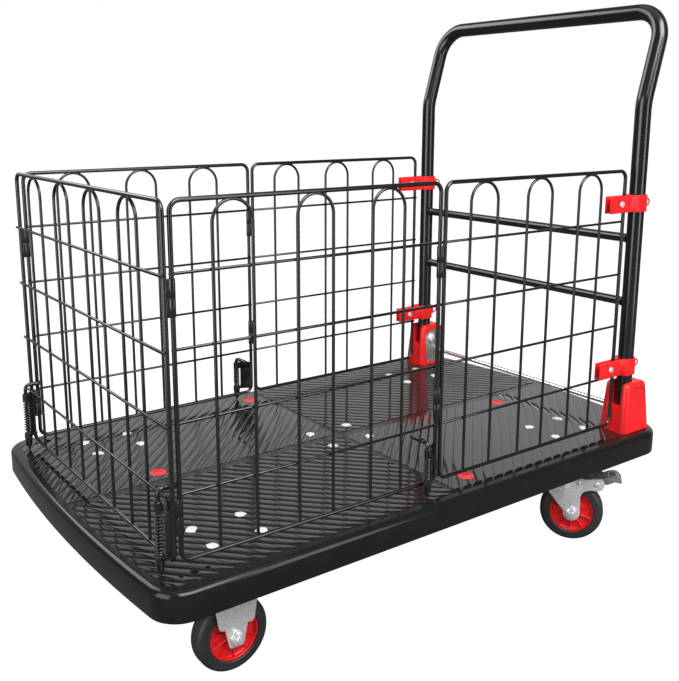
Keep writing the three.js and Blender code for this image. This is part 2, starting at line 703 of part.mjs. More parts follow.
const castorPlate = () => {
  const x = BOLT_PITCH_X / 2 + PLATE_MARGIN;
  const y = BOLT_PITCH_Y / 2 + PLATE_MARGIN;
  const outline = roundedRectangle(-x, x, -y, y, BOSS_WALL, 2);
  return slab(new THREE.Shape(outline), PLATE_UNDER, PLATE_TOP);
};

function makeRigidFork() {
  const shape = rigidCheekShape();
  const left = cheek(shape, CHEEK_INNER, CHEEK_OUTER);
  const right = cheek(shape, -CHEEK_OUTER, -CHEEK_INNER);
  const plan = [-RIGID_BAND.top, RIGID_BAND.top, -CHEEK_OUTER, CHEEK_OUTER];
  const crown = block(...plan, PLATE_UNDER - CROWN_SHEET, PLATE_UNDER + OVERRUN);
  const bore = AXLE_RADIUS + SEAT_GAP;
  const end = CHEEK_OUTER + OVERRUN;
  const hole = bar('y', bore, -end, end, [0, WHEEL_RADIUS], 8);
  return cut(join([castorPlate(), left, right, crown]), [hole]);
}

function makeSwivelPlate() {
  const cupFloor = CROWN_TOP + RACE_HEIGHT + RUN_GAP;
  const cupTop = PLATE_UNDER + OVERRUN;
  const cup = bar('z', RACE_RADIUS - CUP_TAPER, cupFloor, cupTop, [0, 0], 16, RACE_RADIUS);
  const pinEnd = CROWN_TOP - KINGPIN_END;
  const pin = bar('z', KINGPIN_RADIUS, pinEnd, PLATE_UNDER, [0, 0], 10);
  const nutTop = CROWN_TOP - CROWN_SHEET - RUN_GAP;
  const nut = bar('z', KINGPIN_NUT, pinEnd, nutTop, [0, 0], 6);
  return join([castorPlate(), cup, pin, nut]);
}

function makeSwivelFork() {
  const shape = swivelCheekShape();
  const left = cheek(shape, CHEEK_INNER, CHEEK_OUTER);
  const right = cheek(shape, -CHEEK_OUTER, -CHEEK_INNER);
  const plan = [CROWN_BACK, CROWN_FRONT, -CHEEK_OUTER, CHEEK_OUTER];
  const crown = block(...plan, CROWN_TOP - CROWN_SHEET, CROWN_TOP);
  const raceTop = CROWN_TOP + RACE_HEIGHT;
  const race = bar('z', RACE_RADIUS, CROWN_TOP - OVERRUN, raceTop, [0, 0], 16);
  const buried = CHEEK_OUTER - OVERRUN;
  const proud = CHEEK_OUTER + RIVET_PROUD;
  const rivets = [RIVET_NEAR, RIVET_FAR].flatMap((x) => [
    bar('y', RIVET_RADIUS, -CHEEK_OUTER, CHEEK_OUTER, [x, RIVET_Z], 6),
    bar('y', RIVET_HEAD, buried, proud, [x, RIVET_Z], 6),
    bar('y', RIVET_HEAD, -proud, -buried, [x, RIVET_Z], 6),
  ]);
  const pinLow = CROWN_TOP - CROWN_SHEET - OVERRUN;
  const pinBore = bar('z', KINGPIN_RADIUS + RUN_GAP, pinLow, PLATE_TOP, [0, 0], 10);
  const bore = AXLE_RADIUS + SEAT_GAP;
  const end = CHEEK_OUTER + OVERRUN;
  const axle = bar('y', bore, -end, end, [TRAIL, WHEEL_RADIUS], 8);
  return cut(join([left, right, crown, race, ...rivets]), [pinBore, axle]);
}

// The pedal turns on the far rivet; its nose swings down to the tyre.
function makePedal() {
  const half = PEDAL_WIDTH / 2;
  const fromRivet = ([x, z]) => new THREE.Vector2(RIVET_FAR + x, RIVET_Z + z);
  const under = PEDAL_TREAD.map(([x, z]) => [x, z - PEDAL_SHEET]).reverse();
  const tread = new THREE.Shape([...PEDAL_TREAD, ...under].map(fromRivet));
  const nose = new THREE.Shape(PEDAL_NOSE.map(fromRivet));
  const barrelRadius = RIVET_RADIUS + PEDAL_BARREL_WALL;
  const neckEnds = [RIVET_FAR - PEDAL_NECK, RIVET_FAR + PEDAL_NECK];
  const neckTop = RIVET_Z + PEDAL_TREAD[0][1];
  const end = half + OVERRUN;
  return join([
    cheek(tread, -half, half),
    cheek(nose, -half, half),
    bar('y', barrelRadius, -half, half, [RIVET_FAR, RIVET_Z], 12),
    block(...neckEnds, -half, half, RIVET_Z + RIVET_RADIUS, neckTop),
  ]).subtract(bar('y', RIVET_RADIUS + RUN_GAP, -end, end, [RIVET_FAR, RIVET_Z], 12));
}

for (const [spot, [x, y]] of Object.entries(castorSpots)) {
  const swivels = spot.startsWith('rear');
  const mount = new THREE.Group();
  mount.position.set(x, y, 0);
  cart.add(mount);
  const turn = new THREE.Group();
  turn.rotation.z = swivels ? THREE.MathUtils.degToRad(SWIVEL_ANGLE) : 0;
  mount.add(turn);
  if (swivels) {
    place(`swivel_plate_${spot}`, makeSwivelPlate(), ZINC, mount);
    place(`swivel_fork_${spot}`, makeSwivelFork(), ZINC, turn);
    place(`brake_pedal_${spot}`, makePedal(), GREY_STEEL, turn);
  } else {
    place(`rigid_fork_${spot}`, makeRigidFork(), ZINC, mount);
  }
  const wheel = new THREE.Group();
  wheel.position.set(swivels ? TRAIL : 0, 0, WHEEL_RADIUS);
  turn.add(wheel);
  place(`wheel_core_${spot}`, makeWheelCore(), RED_PLASTIC, wheel);
  place(`tyre_${spot}`, makeTyre(), RUBBER, wheel);
  place(`axle_${spot}`, makeAxle(), ZINC, wheel);
}

// ---- cage ------------------------------------------------------------------
// A panel is drawn along +X from its first edge wire, in the plane y = 0.
function makePanel(length, archCount, [firstGap, lastGap], crossSide, crossEnd, extras = []) {
  const vector = (x, z, y = 0) => new THREE.Vector3(x, y, z);
  const middle = (RAIL_LOW + RAIL_HIGH) / 2;
  const bends = Array(4).fill(FRAME_BEND);
  const loop = [
    vector(0, middle),
    vector(0, RAIL_LOW),
    vector(length, RAIL_LOW),
    vector(length, RAIL_HIGH),
    vector(0, RAIL_HIGH),
    vector(0, middle),
  ];
  const pieces = [closedWire(bentLine(loop, bends, 3), FRAME_WIRE, 6)];
  const archRadius = ARCH_WIDTH / 2;
  const archTop = RAIL_HIGH - ARCH_DROP;
  const span = length - firstGap - lastGap - ARCH_WIDTH;
  for (let i = 0; i < archCount; i += 1) {
    const x0 = firstGap + (span * i) / (archCount - 1);
    const x1 = x0 + ARCH_WIDTH;
    const path = [
      vector(x0, RAIL_LOW),
      vector(x0, archTop),
      vector(x1, archTop),
      vector(x1, RAIL_LOW),
    ];
    const round = archRadius - 0.01;
    pieces.push(wire(bentLine(path, [round, round], 3), ARCH_WIRE, 6));
  }
  for (let i = 0; i < CROSS_COUNT; i += 1) {
    const z = RAIL_LOW + CROSS_FIRST + i * CROSS_PITCH;
    const y = crossSide * CROSS_OFFSET;
    const ends = [vector(-crossEnd, z, y), vector(length + crossEnd, z, y)];
    pieces.push(wire(ends, CROSS_WIRE, 6));
  }
  return join([...pieces, ...extras]);
}

// A sheet clip that grips one edge wire and lets its neighbour turn.
function clip(own, partner, height) {
  const outer = FRAME_WIRE + RUN_GAP + CLIP_SHEET;
  const reach = new THREE.Vector2(partner[0] - own[0], partner[1] - own[1]);
  const heading = reach.angle();
  const z0 = RAIL_LOW + height;
  const shape = new THREE.Shape();
  const open = Math.PI - Math.asin(CLIP_WEB / outer);
  shape.moveTo(0, -CLIP_WEB);
  shape.absarc(reach.length(), 0, outer, -open, open, false);
  shape.lineTo(0, CLIP_WEB);
  const settings = { depth: CLIP_LENGTH, bevelEnabled: false, curveSegments: 6 };
  const geometry = new THREE.ExtrudeGeometry(shape, settings);
  geometry.rotateZ(heading);
  geometry.translate(own[0], own[1], z0);
  const bore = FRAME_WIRE + RUN_GAP;
  const hole = bar('z', bore, z0 - OVERRUN, z0 + CLIP_LENGTH + OVERRUN, partner, 8);
  return solid(geometry).subtract(hole);
}

const latchHeights = (latch) => {
  const earTop = DECK_TOP + LATCH_FOOT + LATCH_EAR;
  const springLow = earTop + COLLAR_HEIGHT + SEAT_GAP;
  const springHigh = springLow + latch.spring;
  return { earTop, springLow, springHigh, sleeveTop: springHigh + latch.sleeve };
};

// The guide of a latch, welded to the edge wire at the local point root.
function latchGuide(root, reach, latch) {
  const { earTop, springHigh, sleeveTop } = latchHeights(latch);
  const distance = Math.hypot(...reach);
  const heading = Math.atan2(reach[1], reach[0]);
  const bore = PLUNGER_RADIUS + RUN_GAP;
  const sleeve = bore + SLEEVE_WALL;
  const half = LATCH_WEB / 2;
  const ear = sleeve + LATCH_EAR_MARGIN;
  const webEnd = distance - COLLAR_RADIUS - LATCH_WEB_GAP;
  const parts = [
    block(0, webEnd, -half, half, earTop - LATCH_EAR, sleeveTop),
    block(0, distance, -ear, ear, earTop - LATCH_EAR, earTop),
    bar('z', ear, earTop - LATCH_EAR, earTop, [distance, 0], 8),
    block(0, distance, -half, half, springHigh + SEAT_GAP, sleeveTop),
    bar('z', sleeve, springHigh + SEAT_GAP, sleeveTop, [distance, 0], 8),
  ];
  const hole = bar('z', bore, DECK_TOP, sleeveTop + OVERRUN, [distance, 0], 8);
  const shape = geometryOf(join(parts).subtract(hole));
  shape.rotateZ(heading);
  shape.translate(root[0], root[1], 0);
  return solid(shape);
}

// The sprung pin of a latch, about its own axis, its grip along +X.
function makePlunger(latch) {
  const { earTop } = latchHeights(latch);
  const tip = DECK_TOP + PLUNGER_TIP;
  const gripZ = DECK_TOP + latch.grip;
  const rod = wire(bentLine([
    new THREE.Vector3(0, 0, tip + TIP_TAPER),
    new THREE.Vector3(0, 0, gripZ),
    new THREE.Vector3(GRIP_LENGTH, 0, gripZ),
  ], [GRIP_BEND], 3), PLUNGER_RADIUS, 6);
  const taperTop = tip + TIP_TAPER + OVERRUN;
  const taper = bar('z', TIP_RADIUS, tip, taperTop, [0, 0], 6, PLUNGER_RADIUS);
  const collarLow = earTop + SEAT_GAP / 2;
  const collarHigh = collarLow + COLLAR_HEIGHT - SEAT_GAP / 2;
  const collar = bar('z', COLLAR_RADIUS, collarLow, collarHigh, [0, 0], 8);
  const gripStart = GRIP_BEND + GRIP_START;
  const gripEnd = GRIP_LENGTH + OVERRUN;
  const grip = bar('x', GRIP_RADIUS, gripStart, gripEnd, [0, gripZ], 8);
  return join([rod, taper, collar, grip]);
}

// The coil spring round the pin, between its collar and the guide's sleeve.
function makeSpring(latch) {
  const { springLow, springHigh } = latchHeights(latch);
  const low = springLow + SPRING_WIRE;
  const rise = springHigh - springLow - 2 * SPRING_WIRE;
  const steps = SPRING_TURNS * 6;
  const stations = Array.from({ length: steps + 1 }, (_, i) => {
    const angle = (i / steps) * SPRING_TURNS * 2 * Math.PI;
    const x = SPRING_RADIUS * Math.cos(angle);
    const y = SPRING_RADIUS * Math.sin(angle);
    return new THREE.Vector3(x, y, low + (rise * i) / steps);
  });
  return wire(stations, SPRING_WIRE, 4);
}

const rearLength = CAGE_MIDDLE - HINGE_PITCH - CAGE_REAR;
const frontLength = CAGE_FRONT - CAGE_MIDDLE;
const sides = { left: 1, right: -1 };

for (const [side, sign] of Object.entries(sides)) {
  const middleClip = (height) => clip([rearLength, 0], [rearLength + HINGE_PITCH, 0], height);
  const rearPanel = makePanel(rearLength, 3, REAR_ARCHES, -sign, OVERRUN, [
    middleClip(CLIP_LOW_MID),
    middleClip(CLIP_HIGH),
  ]);
  const rear = place(`rear_panel_${side}`, rearPanel, BLACK_PAINT);
  rear.position.set(CAGE_REAR, sign * CAGE_Y, 0);

  const [reachX, reachY] = LATCH_MID.reach;
  const guide = latchGuide([0, 0], [reachX, sign * reachY], LATCH_MID);
  const frontPanel = makePanel(frontLength, 3, SIDE_ARCHES, -sign, OVERRUN, [guide]);
  const fore = place(`side_panel_${side}`, frontPanel, BLACK_PAINT);
  fore.position.set(CAGE_MIDDLE, sign * CAGE_Y, 0);
}

// The front panel runs along +Y from the right edge wire to the left one.
const frontWidth = 2 * CAGE_Y;
const frontExtras = [0, frontWidth].flatMap((x) => {
  const inward = x === 0 ? 1 : -1;
  const reach = [inward * -LATCH_FRONT.reach[1], -LATCH_FRONT.reach[0]];
  return [
    clip([x, 0], [x, HINGE_PITCH], CLIP_LOW),
    clip([x, 0], [x, HINGE_PITCH], CLIP_HIGH),
    latchGuide([x, 0], reach, LATCH_FRONT),
  ];
});
const frontGrid = makePanel(frontWidth, 4, FRONT_ARCHES, -1, FRONT_CROSS_END, frontExtras);
const front = place('front_panel', frontGrid, BLACK_PAINT);
front.position.set(FRONT_PLANE, -CAGE_Y, 0);
front.rotation.z = Math.PI / 2;

for (const [side, sign] of Object.entries(sides)) {
  const spots = [
    ['front', LATCH_FRONT, FRONT_PLANE, Math.PI],
    ['middle', LATCH_MID, CAGE_MIDDLE, (-sign * Math.PI) / 2],
  ];
  for (const [label, latch, rootX, heading] of spots) {
    const group = new THREE.Group();
    group.position.set(rootX + latch.reach[0], sign * (CAGE_Y + latch.reach[1]), 0);
    group.rotation.z = heading;
    cart.add(group);
    place(`latch_plunger_${label}_${side}`, makePlunger(latch), BLACK_PAINT, group);
    place(`latch_spring_${label}_${side}`, makeSpring(latch), BLACK_PAINT, group);
  }
}

// ---- handle ----------------------------------------------------------------
const leanSlope = Math.tan(THREE.MathUtils.degToRad(LEAN));
const gripX = TUBE_X - (HANDLE_TOP - LEAN_START) * leanSlope;

function makeHandle() {
  const line = [
    new THREE.Vector3(TUBE_X, -CAGE_Y, TUBE_FOOT),
    new THREE.Vector3(TUBE_X, -CAGE_Y, LEAN_START),
    new THREE.Vector3(gripX, -CAGE_Y, HANDLE_TOP),
    new THREE.Vector3(gripX, CAGE_Y, HANDLE_TOP),
    new THREE.Vector3(TUBE_X, CAGE_Y, LEAN_START),
    new THREE.Vector3(TUBE_X, CAGE_Y, TUBE_FOOT),
  ];
  const bends = [LEAN_BEND, GRIP_CORNER, GRIP_CORNER, LEAN_BEND];
  const tube = wire(bentLine(line, bends, 4, 2), TUBE_RADIUS, 12, TUBE_RADIUS - TUBE_WALL, 6);
  const bore = PIVOT_RADIUS + RUN_GAP;
  const reach = CAGE_Y + TUBE_RADIUS + OVERRUN;
  return tube.subtract(bar('y', bore, -reach, reach, [TUBE_X, PIVOT_Z], 10));
}

function makeRung(z) {
  const end = CAGE_Y - TUBE_RADIUS - SEAT_GAP;
  const rung = bar('y', RUNG_RADIUS, -end, end, [TUBE_X, z], 14);
  const past = end + OVERRUN;
  const bore = bar('y', RUNG_RADIUS - RUNG_WALL, -past, past, [TUBE_X, z], 8);
  return rung.subtract(bore);
}

place('handle_tube', makeHandle(), BLACK_PAINT);
for (const [name, z] of Object.entries(RUNG_HEIGHTS)) place(name, makeRung(z), BLACK_PAINT);

// ---- clamps ----------------------------------------------------------------
// A strap round the tube whose two tails hold the rear edge wire between them.
function makeClamp() {
  const low = -CLAMP_TALL / 2;
  const high = CLAMP_TALL / 2;
  const cutLow = low - OVERRUN;
  const cutHigh = high + OVERRUN;
  const hug = TUBE_RADIUS + SEAT_GAP;
  const slot = FRAME_WIRE + SEAT_GAP;
  const tail = slot + CLAMP_SHEET;
  const bossEnd = -hug - CLAMP_SHEET - CLAMP_BOSS;
  const { width, height } = CLAMP_BOSS_HALF;
  const tails = roundedRectangle(0, CLAMP_REACH, -tail, tail, CLAMP_CORNER, 1);
  const strap = cut(join([
    bar('z', hug + CLAMP_SHEET, low, high, [0, 0], 16),
    slab(new THREE.Shape(tails), low, high),
    block(bossEnd, -hug, -width, width, -height, height),
  ]), [
    bar('z', hug, cutLow, cutHigh, [0, 0], 16),
    block(0, CLAMP_REACH + OVERRUN, -slot, slot, cutLow, cutHigh),
    bar('x', PIN_RADIUS + SEAT_GAP, bossEnd - OVERRUN, -hug + OVERRUN, [0, 0], 8),
  ]);
  const head = tail + CLAMP_HEAD;
  const buried = tail - OVERRUN;
  const screw = [CLAMP_SCREW_REACH, 0];
  return join([
    strap,
    bar('y', CLAMP_SCREW, -head, head, screw, 6),
    bar('y', 2 * CLAMP_SCREW, buried, head, screw, 8),
    bar('y', 2 * CLAMP_SCREW, -head, -buried, screw, 8),
  ]);
}

// The pull pin in the clamp's boss, with its ring standing behind it.
function makePullPin() {
  const bossEnd = -TUBE_RADIUS - SEAT_GAP - CLAMP_SHEET - CLAMP_BOSS;
  const pinEnd = -TUBE_RADIUS - SEAT_GAP;
  const pin = bar('x', PIN_RADIUS, bossEnd - PIN_TAIL, pinEnd, [0, 0], 6);
  const ring = new THREE.TorusGeometry(RING_RADIUS, RING_WIRE, 4, 10);
  ring.rotateX(Math.PI / 2);
  ring.translate(bossEnd - RING_RADIUS - OVERRUN, 0, 0);
  return pin.add(solid(ring));
}

for (const [level, z] of Object.entries(CLAMP_HEIGHTS)) {
  for (const [side, sign] of Object.entries(sides)) {
    const spot = [TUBE_X, sign * CAGE_Y, z];
    place(`clamp_${level}_${side}`, makeClamp(), RED_PLASTIC).position.set(...spot);
    place(`pull_pin_${level}_${side}`, makePullPin(), ZINC).position.set(...spot);
  }
}

// ---- handle brackets -------------------------------------------------------
const sidePlateEnds = {
  front: TUBE_X + SIDE_PLATE_BOX.front,
  rear: TUBE_X + SIDE_PLATE_BOX.rear,
  low: DECK_TOP + SIDE_PLATE_BOX.low,
  high: DECK_TOP + SIDE_PLATE_BOX.high,
};

// Drawn round the tube's foot with y = 0 in the tube's plane, for one side.
function makeBracket(sign) {
  const foot = DECK_TOP + SEAT_GAP;
  const top = DECK_TOP + BRACKET_HEIGHT;
  const section = (share, inset) => {
    const mix = (a, b) => a + (b - a) * share;
    const front = TUBE_X + mix(BRACKET_FOOT.front, BRACKET_HEAD.front) - inset;
    const rear = TUBE_X + mix(BRACKET_FOOT.rear, BRACKET_HEAD.rear) + inset;
    const half = mix(BRACKET_FOOT.half, BRACKET_HEAD.half) - inset;
    return roundedRectangle(rear, front, -half, half, BRACKET_CORNER - inset / 2, 3);
  };
  const rings = [{ points: section(0, 0), z: foot }];
  const roundSteps = 3;
  for (let step = 0; step <= roundSteps; step += 1) {
    const angle = (Math.PI / 2 / roundSteps) * step;
    const inset = BRACKET_ROUND * (1 - Math.cos(angle));
    const z = top - BRACKET_ROUND * (1 - Math.sin(angle));
    rings.push({ points: section((z - foot) / (top - foot), inset), z });
  }
  const hug = TUBE_RADIUS + SEAT_GAP;
  const ends = BRACKET_FOOT.half + OVERRUN;
  const plate = sidePlateEnds;
  const inner = -sign * ends;
  const plateFace = -sign * (BRACKET_HEAD.half - SIDE_PLATE_DEPTH);
  const [p0, p1] = inner < plateFace ? [inner, plateFace] : [plateFace, inner];
  const entry = -sign * (BRACKET_FOOT.half - RELEASE_ENTRY - RELEASE_END_GAP);
  const [e0, e1] = inner < entry ? [inner, entry] : [entry, inner];
  const bore = RELEASE_RADIUS + RUN_GAP;
  const slotLow = RELEASE_Z - RELEASE_TRAVEL;
  return cut(loft(rings), [
    bar('z', hug, TUBE_FOOT - BRACKET_FLOOR, top + OVERRUN, [TUBE_X, 0], 16),
    block(TUBE_X, TUBE_X + BRACKET_FOOT.front + OVERRUN, -hug, hug, SLOT_FLOOR, top + OVERRUN),
    bar('y', PIVOT_RADIUS + SEAT_GAP, -ends, ends, [TUBE_X, PIVOT_Z], 10),
    block(plate.rear, plate.front, p0, p1, plate.low, plate.high),
    bar('y', bore, e0, e1, [RELEASE_X, RELEASE_Z], 10),
    bar('y', bore, e0, e1, [RELEASE_X, slotLow], 10),
    block(RELEASE_X - bore, RELEASE_X + bore, e0, e1, slotLow, RELEASE_Z),
  ]);
}

// The steel plate let into the bracket's inner face.
function makeSidePlate(sign) {
  const box = sidePlateEnds;
  const outline = new THREE.Shape();
  const gap = SEAT_GAP;
  outline.moveTo(box.rear + gap, box.low + gap);
  outline.lineTo(box.front - gap, box.low + gap);
  outline.lineTo(box.front - gap, box.high - SIDE_PLATE_CORNER);
  outline.lineTo(box.front - SIDE_PLATE_CORNER, box.high - gap);
  outline.lineTo(box.rear + SIDE_PLATE_CORNER, box.high - gap);
  outline.lineTo(box.rear + gap, box.high - SIDE_PLATE_CORNER);
  outline.closePath();
  const face = BRACKET_HEAD.half - SIDE_PLATE_DEPTH + gap;
  const [y0, y1] = sign > 0 ? [-face - SIDE_PLATE, -face] : [face, face + SIDE_PLATE];
  const bore = RELEASE_RADIUS + RUN_GAP;
  const slotLow = RELEASE_Z - RELEASE_TRAVEL;
  const [low, high] = [y0 - OVERRUN, y1 + OVERRUN];
  return cut(cheek(outline, y0, y1), [
    bar('y', PIVOT_RADIUS + SEAT_GAP, low, high, [TUBE_X, PIVOT_Z], 10),
    bar('y', bore, low, high, [RELEASE_X, RELEASE_Z], 10),
    bar('y', bore, low, high, [RELEASE_X, slotLow], 10),
    block(RELEASE_X - bore, RELEASE_X + bore, low, high, slotLow, RELEASE_Z),
  ]);
}

// The pivot pin through bracket, plate and tube; its head is on the inner side.
function makePivotPin(sign) {
  const shankEnd = BRACKET_HEAD.half - PIVOT_COVER;
  const face = BRACKET_HEAD.half - SIDE_PLATE_DEPTH + SIDE_PLATE + 2 * SEAT_GAP;
  const buried = face + OVERRUN;
  const [s0, s1] = sign > 0 ? [-buried, shankEnd] : [-shankEnd, buried];
  const [h0, h1] = sign > 0 ? [-face - PIVOT_HEAD, -face] : [face, face + PIVOT_HEAD];
  const shank = bar('y', PIVOT_RADIUS, s0, s1, [TUBE_X, PIVOT_Z], 12);
  return shank.add(bar('y', PIVOT_HEAD_RADIUS, h0, h1, [TUBE_X, PIVOT_Z], 16));
}

for (const [side, sign] of Object.entries(sides)) {
  const group = new THREE.Group();
  group.position.y = sign * CAGE_Y;
  cart.add(group);
  place(`bracket_${side}`, makeBracket(sign), RED_PLASTIC, group);
  place(`bracket_plate_${side}`, makeSidePlate(sign), GREY_STEEL, group);
  place(`pivot_pin_${side}`, makePivotPin(sign), CHROME, group);
}

const releaseEnd = CAGE_Y - BRACKET_FOOT.half + RELEASE_ENTRY;
const release = bar(
  'y', RELEASE_RADIUS, -releaseEnd, releaseEnd, [RELEASE_X, RELEASE_Z], 12,
);
place('release_bar', release, CHROME);

export default cart;
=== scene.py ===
"""Garden cart: the finished look of a folding platform cart, built on its CAD frame."""

import json
import math

import bmesh
import bpy
from bpy.props import (
    FloatProperty,
    FloatVectorProperty,
    IntProperty,
    PointerProperty,
)
from mathutils import Matrix, Vector


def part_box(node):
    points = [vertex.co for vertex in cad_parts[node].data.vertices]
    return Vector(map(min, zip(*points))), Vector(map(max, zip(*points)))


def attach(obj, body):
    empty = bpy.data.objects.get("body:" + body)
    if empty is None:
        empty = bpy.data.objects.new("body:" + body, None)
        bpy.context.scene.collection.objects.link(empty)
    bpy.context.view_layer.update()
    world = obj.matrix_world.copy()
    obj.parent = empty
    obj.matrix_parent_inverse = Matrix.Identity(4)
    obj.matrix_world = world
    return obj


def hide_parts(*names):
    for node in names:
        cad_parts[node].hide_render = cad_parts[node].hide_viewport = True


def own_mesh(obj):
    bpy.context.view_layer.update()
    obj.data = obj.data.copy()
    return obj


bl_info = {
    "name": "Garden Cart",
    "version": (1, 0, 0),
    "blender": (4, 5, 0),
    "location": "View3D > Sidebar > Garden Cart",
    "description": "Models a folding garden cart with a wire cage, piece by piece",
    "category": "Add Mesh",
}

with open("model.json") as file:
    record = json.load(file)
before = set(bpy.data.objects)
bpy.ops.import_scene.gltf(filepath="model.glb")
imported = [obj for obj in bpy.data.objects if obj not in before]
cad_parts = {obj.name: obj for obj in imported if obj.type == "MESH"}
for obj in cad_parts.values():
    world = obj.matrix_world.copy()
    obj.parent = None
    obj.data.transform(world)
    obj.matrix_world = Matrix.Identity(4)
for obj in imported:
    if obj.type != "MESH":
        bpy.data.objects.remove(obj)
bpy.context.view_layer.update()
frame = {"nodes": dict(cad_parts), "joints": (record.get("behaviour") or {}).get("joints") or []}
MM = 0.001

# ---- places taken from the frame -------------------------------------------
DECK_LOW, DECK_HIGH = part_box("deck")
SKIRT_LOW = 0.162  # lower edge of the platform's skirt
DECK_TOP = DECK_HIGH.z
SIDES = {"left": 1, "right": -1}
CASTORS = {
    joint["name"]: Vector(joint["pos_m"]) for joint in frame["joints"] if "pos_m" in joint
}
SWIVEL = math.radians(128.5)  # where the swivel castors stand at rest
TRAIL = 0.033  # from their kingpin to their axle
WHEEL_RADIUS = 0.054
CAGE_Y = CASTORS["cage_fold_left"].y
CAGE_REAR = CASTORS["cage_fold_left"].x
CAGE_MIDDLE = CASTORS["side_fold_left"].x
CAGE_FRONT = CASTORS["front_fold"].x
HINGE_PITCH = 0.0095  # between the two edge wires that a clip joins
FRONT_PLANE = CAGE_FRONT + HINGE_PITCH
RAIL_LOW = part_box("rear_panel_left")[0].z + 0.003
RAIL_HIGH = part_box("rear_panel_left")[1].z - 0.003
TUBE_X = -0.409  # the upright part of the push handle
CLEAR = 0.0003  # running clearance between neighbouring pieces


# ---- settings --------------------------------------------------------------
class CartDeckSettings(bpy.types.PropertyGroup):
    """What can be set on the platform"""
    rib_pitch: FloatProperty(
        name="Rib pitch", description="Distance between neighbouring anti-slip ribs",
        default=0.0158, unit="LENGTH")
    rib_relief: FloatProperty(
        name="Rib relief", description="Height of the ribs above the moulded surface",
        default=0.0009, unit="LENGTH")
    edge_radius: FloatProperty(
        name="Edge radius", description="Rounding of the platform's upper edge",
        default=0.009, unit="LENGTH")
    colour: FloatVectorProperty(
        name="Platform colour", description="Base colour of the moulded platform",
        default=(0.007, 0.007, 0.0075), subtype="COLOR", size=3)


class CartWheelSettings(bpy.types.PropertyGroup):
    """What can be set on the castors"""
    tyre_width: FloatProperty(
        name="Tyre width", description="Width of the tyre across its sidewalls",
        default=0.031, unit="LENGTH")
    core_radius: FloatProperty(
        name="Core radius", description="Outer radius of the plastic wheel core",
        default=0.037, unit="LENGTH")
    core_ribs: IntProperty(
        name="Core ribs", description="Number of radial ribs on each face of the core",
        default=10, min=3)
    red: FloatVectorProperty(
        name="Red", description="Base colour of the red plastic pieces",
        default=(0.76, 0.012, 0.014), subtype="COLOR", size=3)


class CartCageSettings(bpy.types.PropertyGroup):
    """What can be set on the cage and its latches"""
    frame_wire: FloatProperty(
        name="Frame wire", description="Radius of the panels' frame wires",
        default=0.003, unit="LENGTH")
    arch_wire: FloatProperty(
        name="Arch wire", description="Radius of the standing arches",
        default=0.0022, unit="LENGTH")
    cross_wire: FloatProperty(
        name="Cross wire", description="Radius of the cross wires",
        default=0.002, unit="LENGTH")
    coils: IntProperty(
        name="Spring coils", description="Number of coils of a latch spring",
        default=12, min=3)


class CartHandleSettings(bpy.types.PropertyGroup):
    """What can be set on the push handle"""
    tube: FloatProperty(
        name="Tube radius", description="Radius of the push handle's tube",
        default=0.013, unit="LENGTH")
    rung: FloatProperty(
        name="Rung radius", description="Radius of the cross rungs",
        default=0.0075, unit="LENGTH")
    black: FloatVectorProperty(
        name="Black", description="Base colour of the powder coat",
        default=(0.006, 0.006, 0.0063), subtype="COLOR", size=3)


class CartStageSettings(bpy.types.PropertyGroup):
    """What can be set on the stage"""
    sky: FloatProperty(
        name="Surround", description="Brightness of the studio surround", default=0.08)
    backdrop: FloatProperty(
        name="Backdrop", description="Brightness of the wall behind the cart", default=0.70)


# ---- hands-on helpers --------------------------------------------------------
def fresh():
    """Leaves object mode with nothing selected."""
    if bpy.context.mode != "OBJECT":
        bpy.ops.object.mode_set(mode="OBJECT")
    bpy.ops.object.select_all(action="DESELECT")


def only(obj):
    """Selects one object and makes it the active one."""
    fresh()
    obj.select_set(True)
    bpy.context.view_layer.objects.active = obj
    return obj


def edit(obj):
    """Enters edit mode with the whole mesh selected."""
    only(obj)
    bpy.ops.object.mode_set(mode="EDIT")
    bpy.ops.mesh.select_mode(type="VERT")
    bpy.ops.mesh.select_all(action="SELECT")


def extrude(move):
    """In edit mode, pulls new geometry out of the selection."""
    bpy.ops.mesh.extrude_region_move(TRANSFORM_OT_translate={"value": move})


def outward():
    """Points every face of the mesh in edit mode outwards and leaves edit mode."""
    bpy.ops.mesh.select_all(action="SELECT")
    bpy.ops.mesh.remove_doubles(threshold=1e-6)
    bpy.ops.mesh.normals_make_consistent(inside=False)
    bpy.ops.object.mode_set(mode="OBJECT")
    return bpy.context.object


def pick(obj, kind, test):
    """In edit mode, selects the faces or edges that pass a test."""
    bpy.ops.mesh.select_all(action="DESELECT")
    bpy.ops.mesh.select_mode(type=kind[:-1].upper())
    mesh = bmesh.from_edit_mesh(obj.data)
    found = [item for item in getattr(mesh, kind) if test(item)]
    if not found:
        raise RuntimeError(f"{obj.name} has no {kind} to shape there")
    for item in found:
        item.select_set(True)
    mesh.select_flush_mode()
    bmesh.update_edit_mesh(obj.data)


def settled():
    """Applies the active object's place, turn and scale, and returns the object."""
    bpy.ops.object.transform_apply(location=True, rotation=True, scale=True)
    return bpy.context.object


def block(x0, x1, y0, y1, z0, z1):
    """A plain block between two places on each axis."""
    fresh()
    middle = ((x0 + x1) / 2, (y0 + y1) / 2, (z0 + z1) / 2)
    bpy.ops.mesh.primitive_cube_add(size=1, location=middle, scale=(x1 - x0, y1 - y0, z1 - z0))
    return settled()


TURNS = {"X": (0, math.pi / 2, 0), "Y": (math.pi / 2, 0, 0), "Z": (0, 0, 0)}


def on_axis(axis, along, a, b):
    """A place from its measure along an axis and its two measures across it."""
    place = [a, b]
    place.insert("XYZ".index(axis), along)
    return Vector(place)


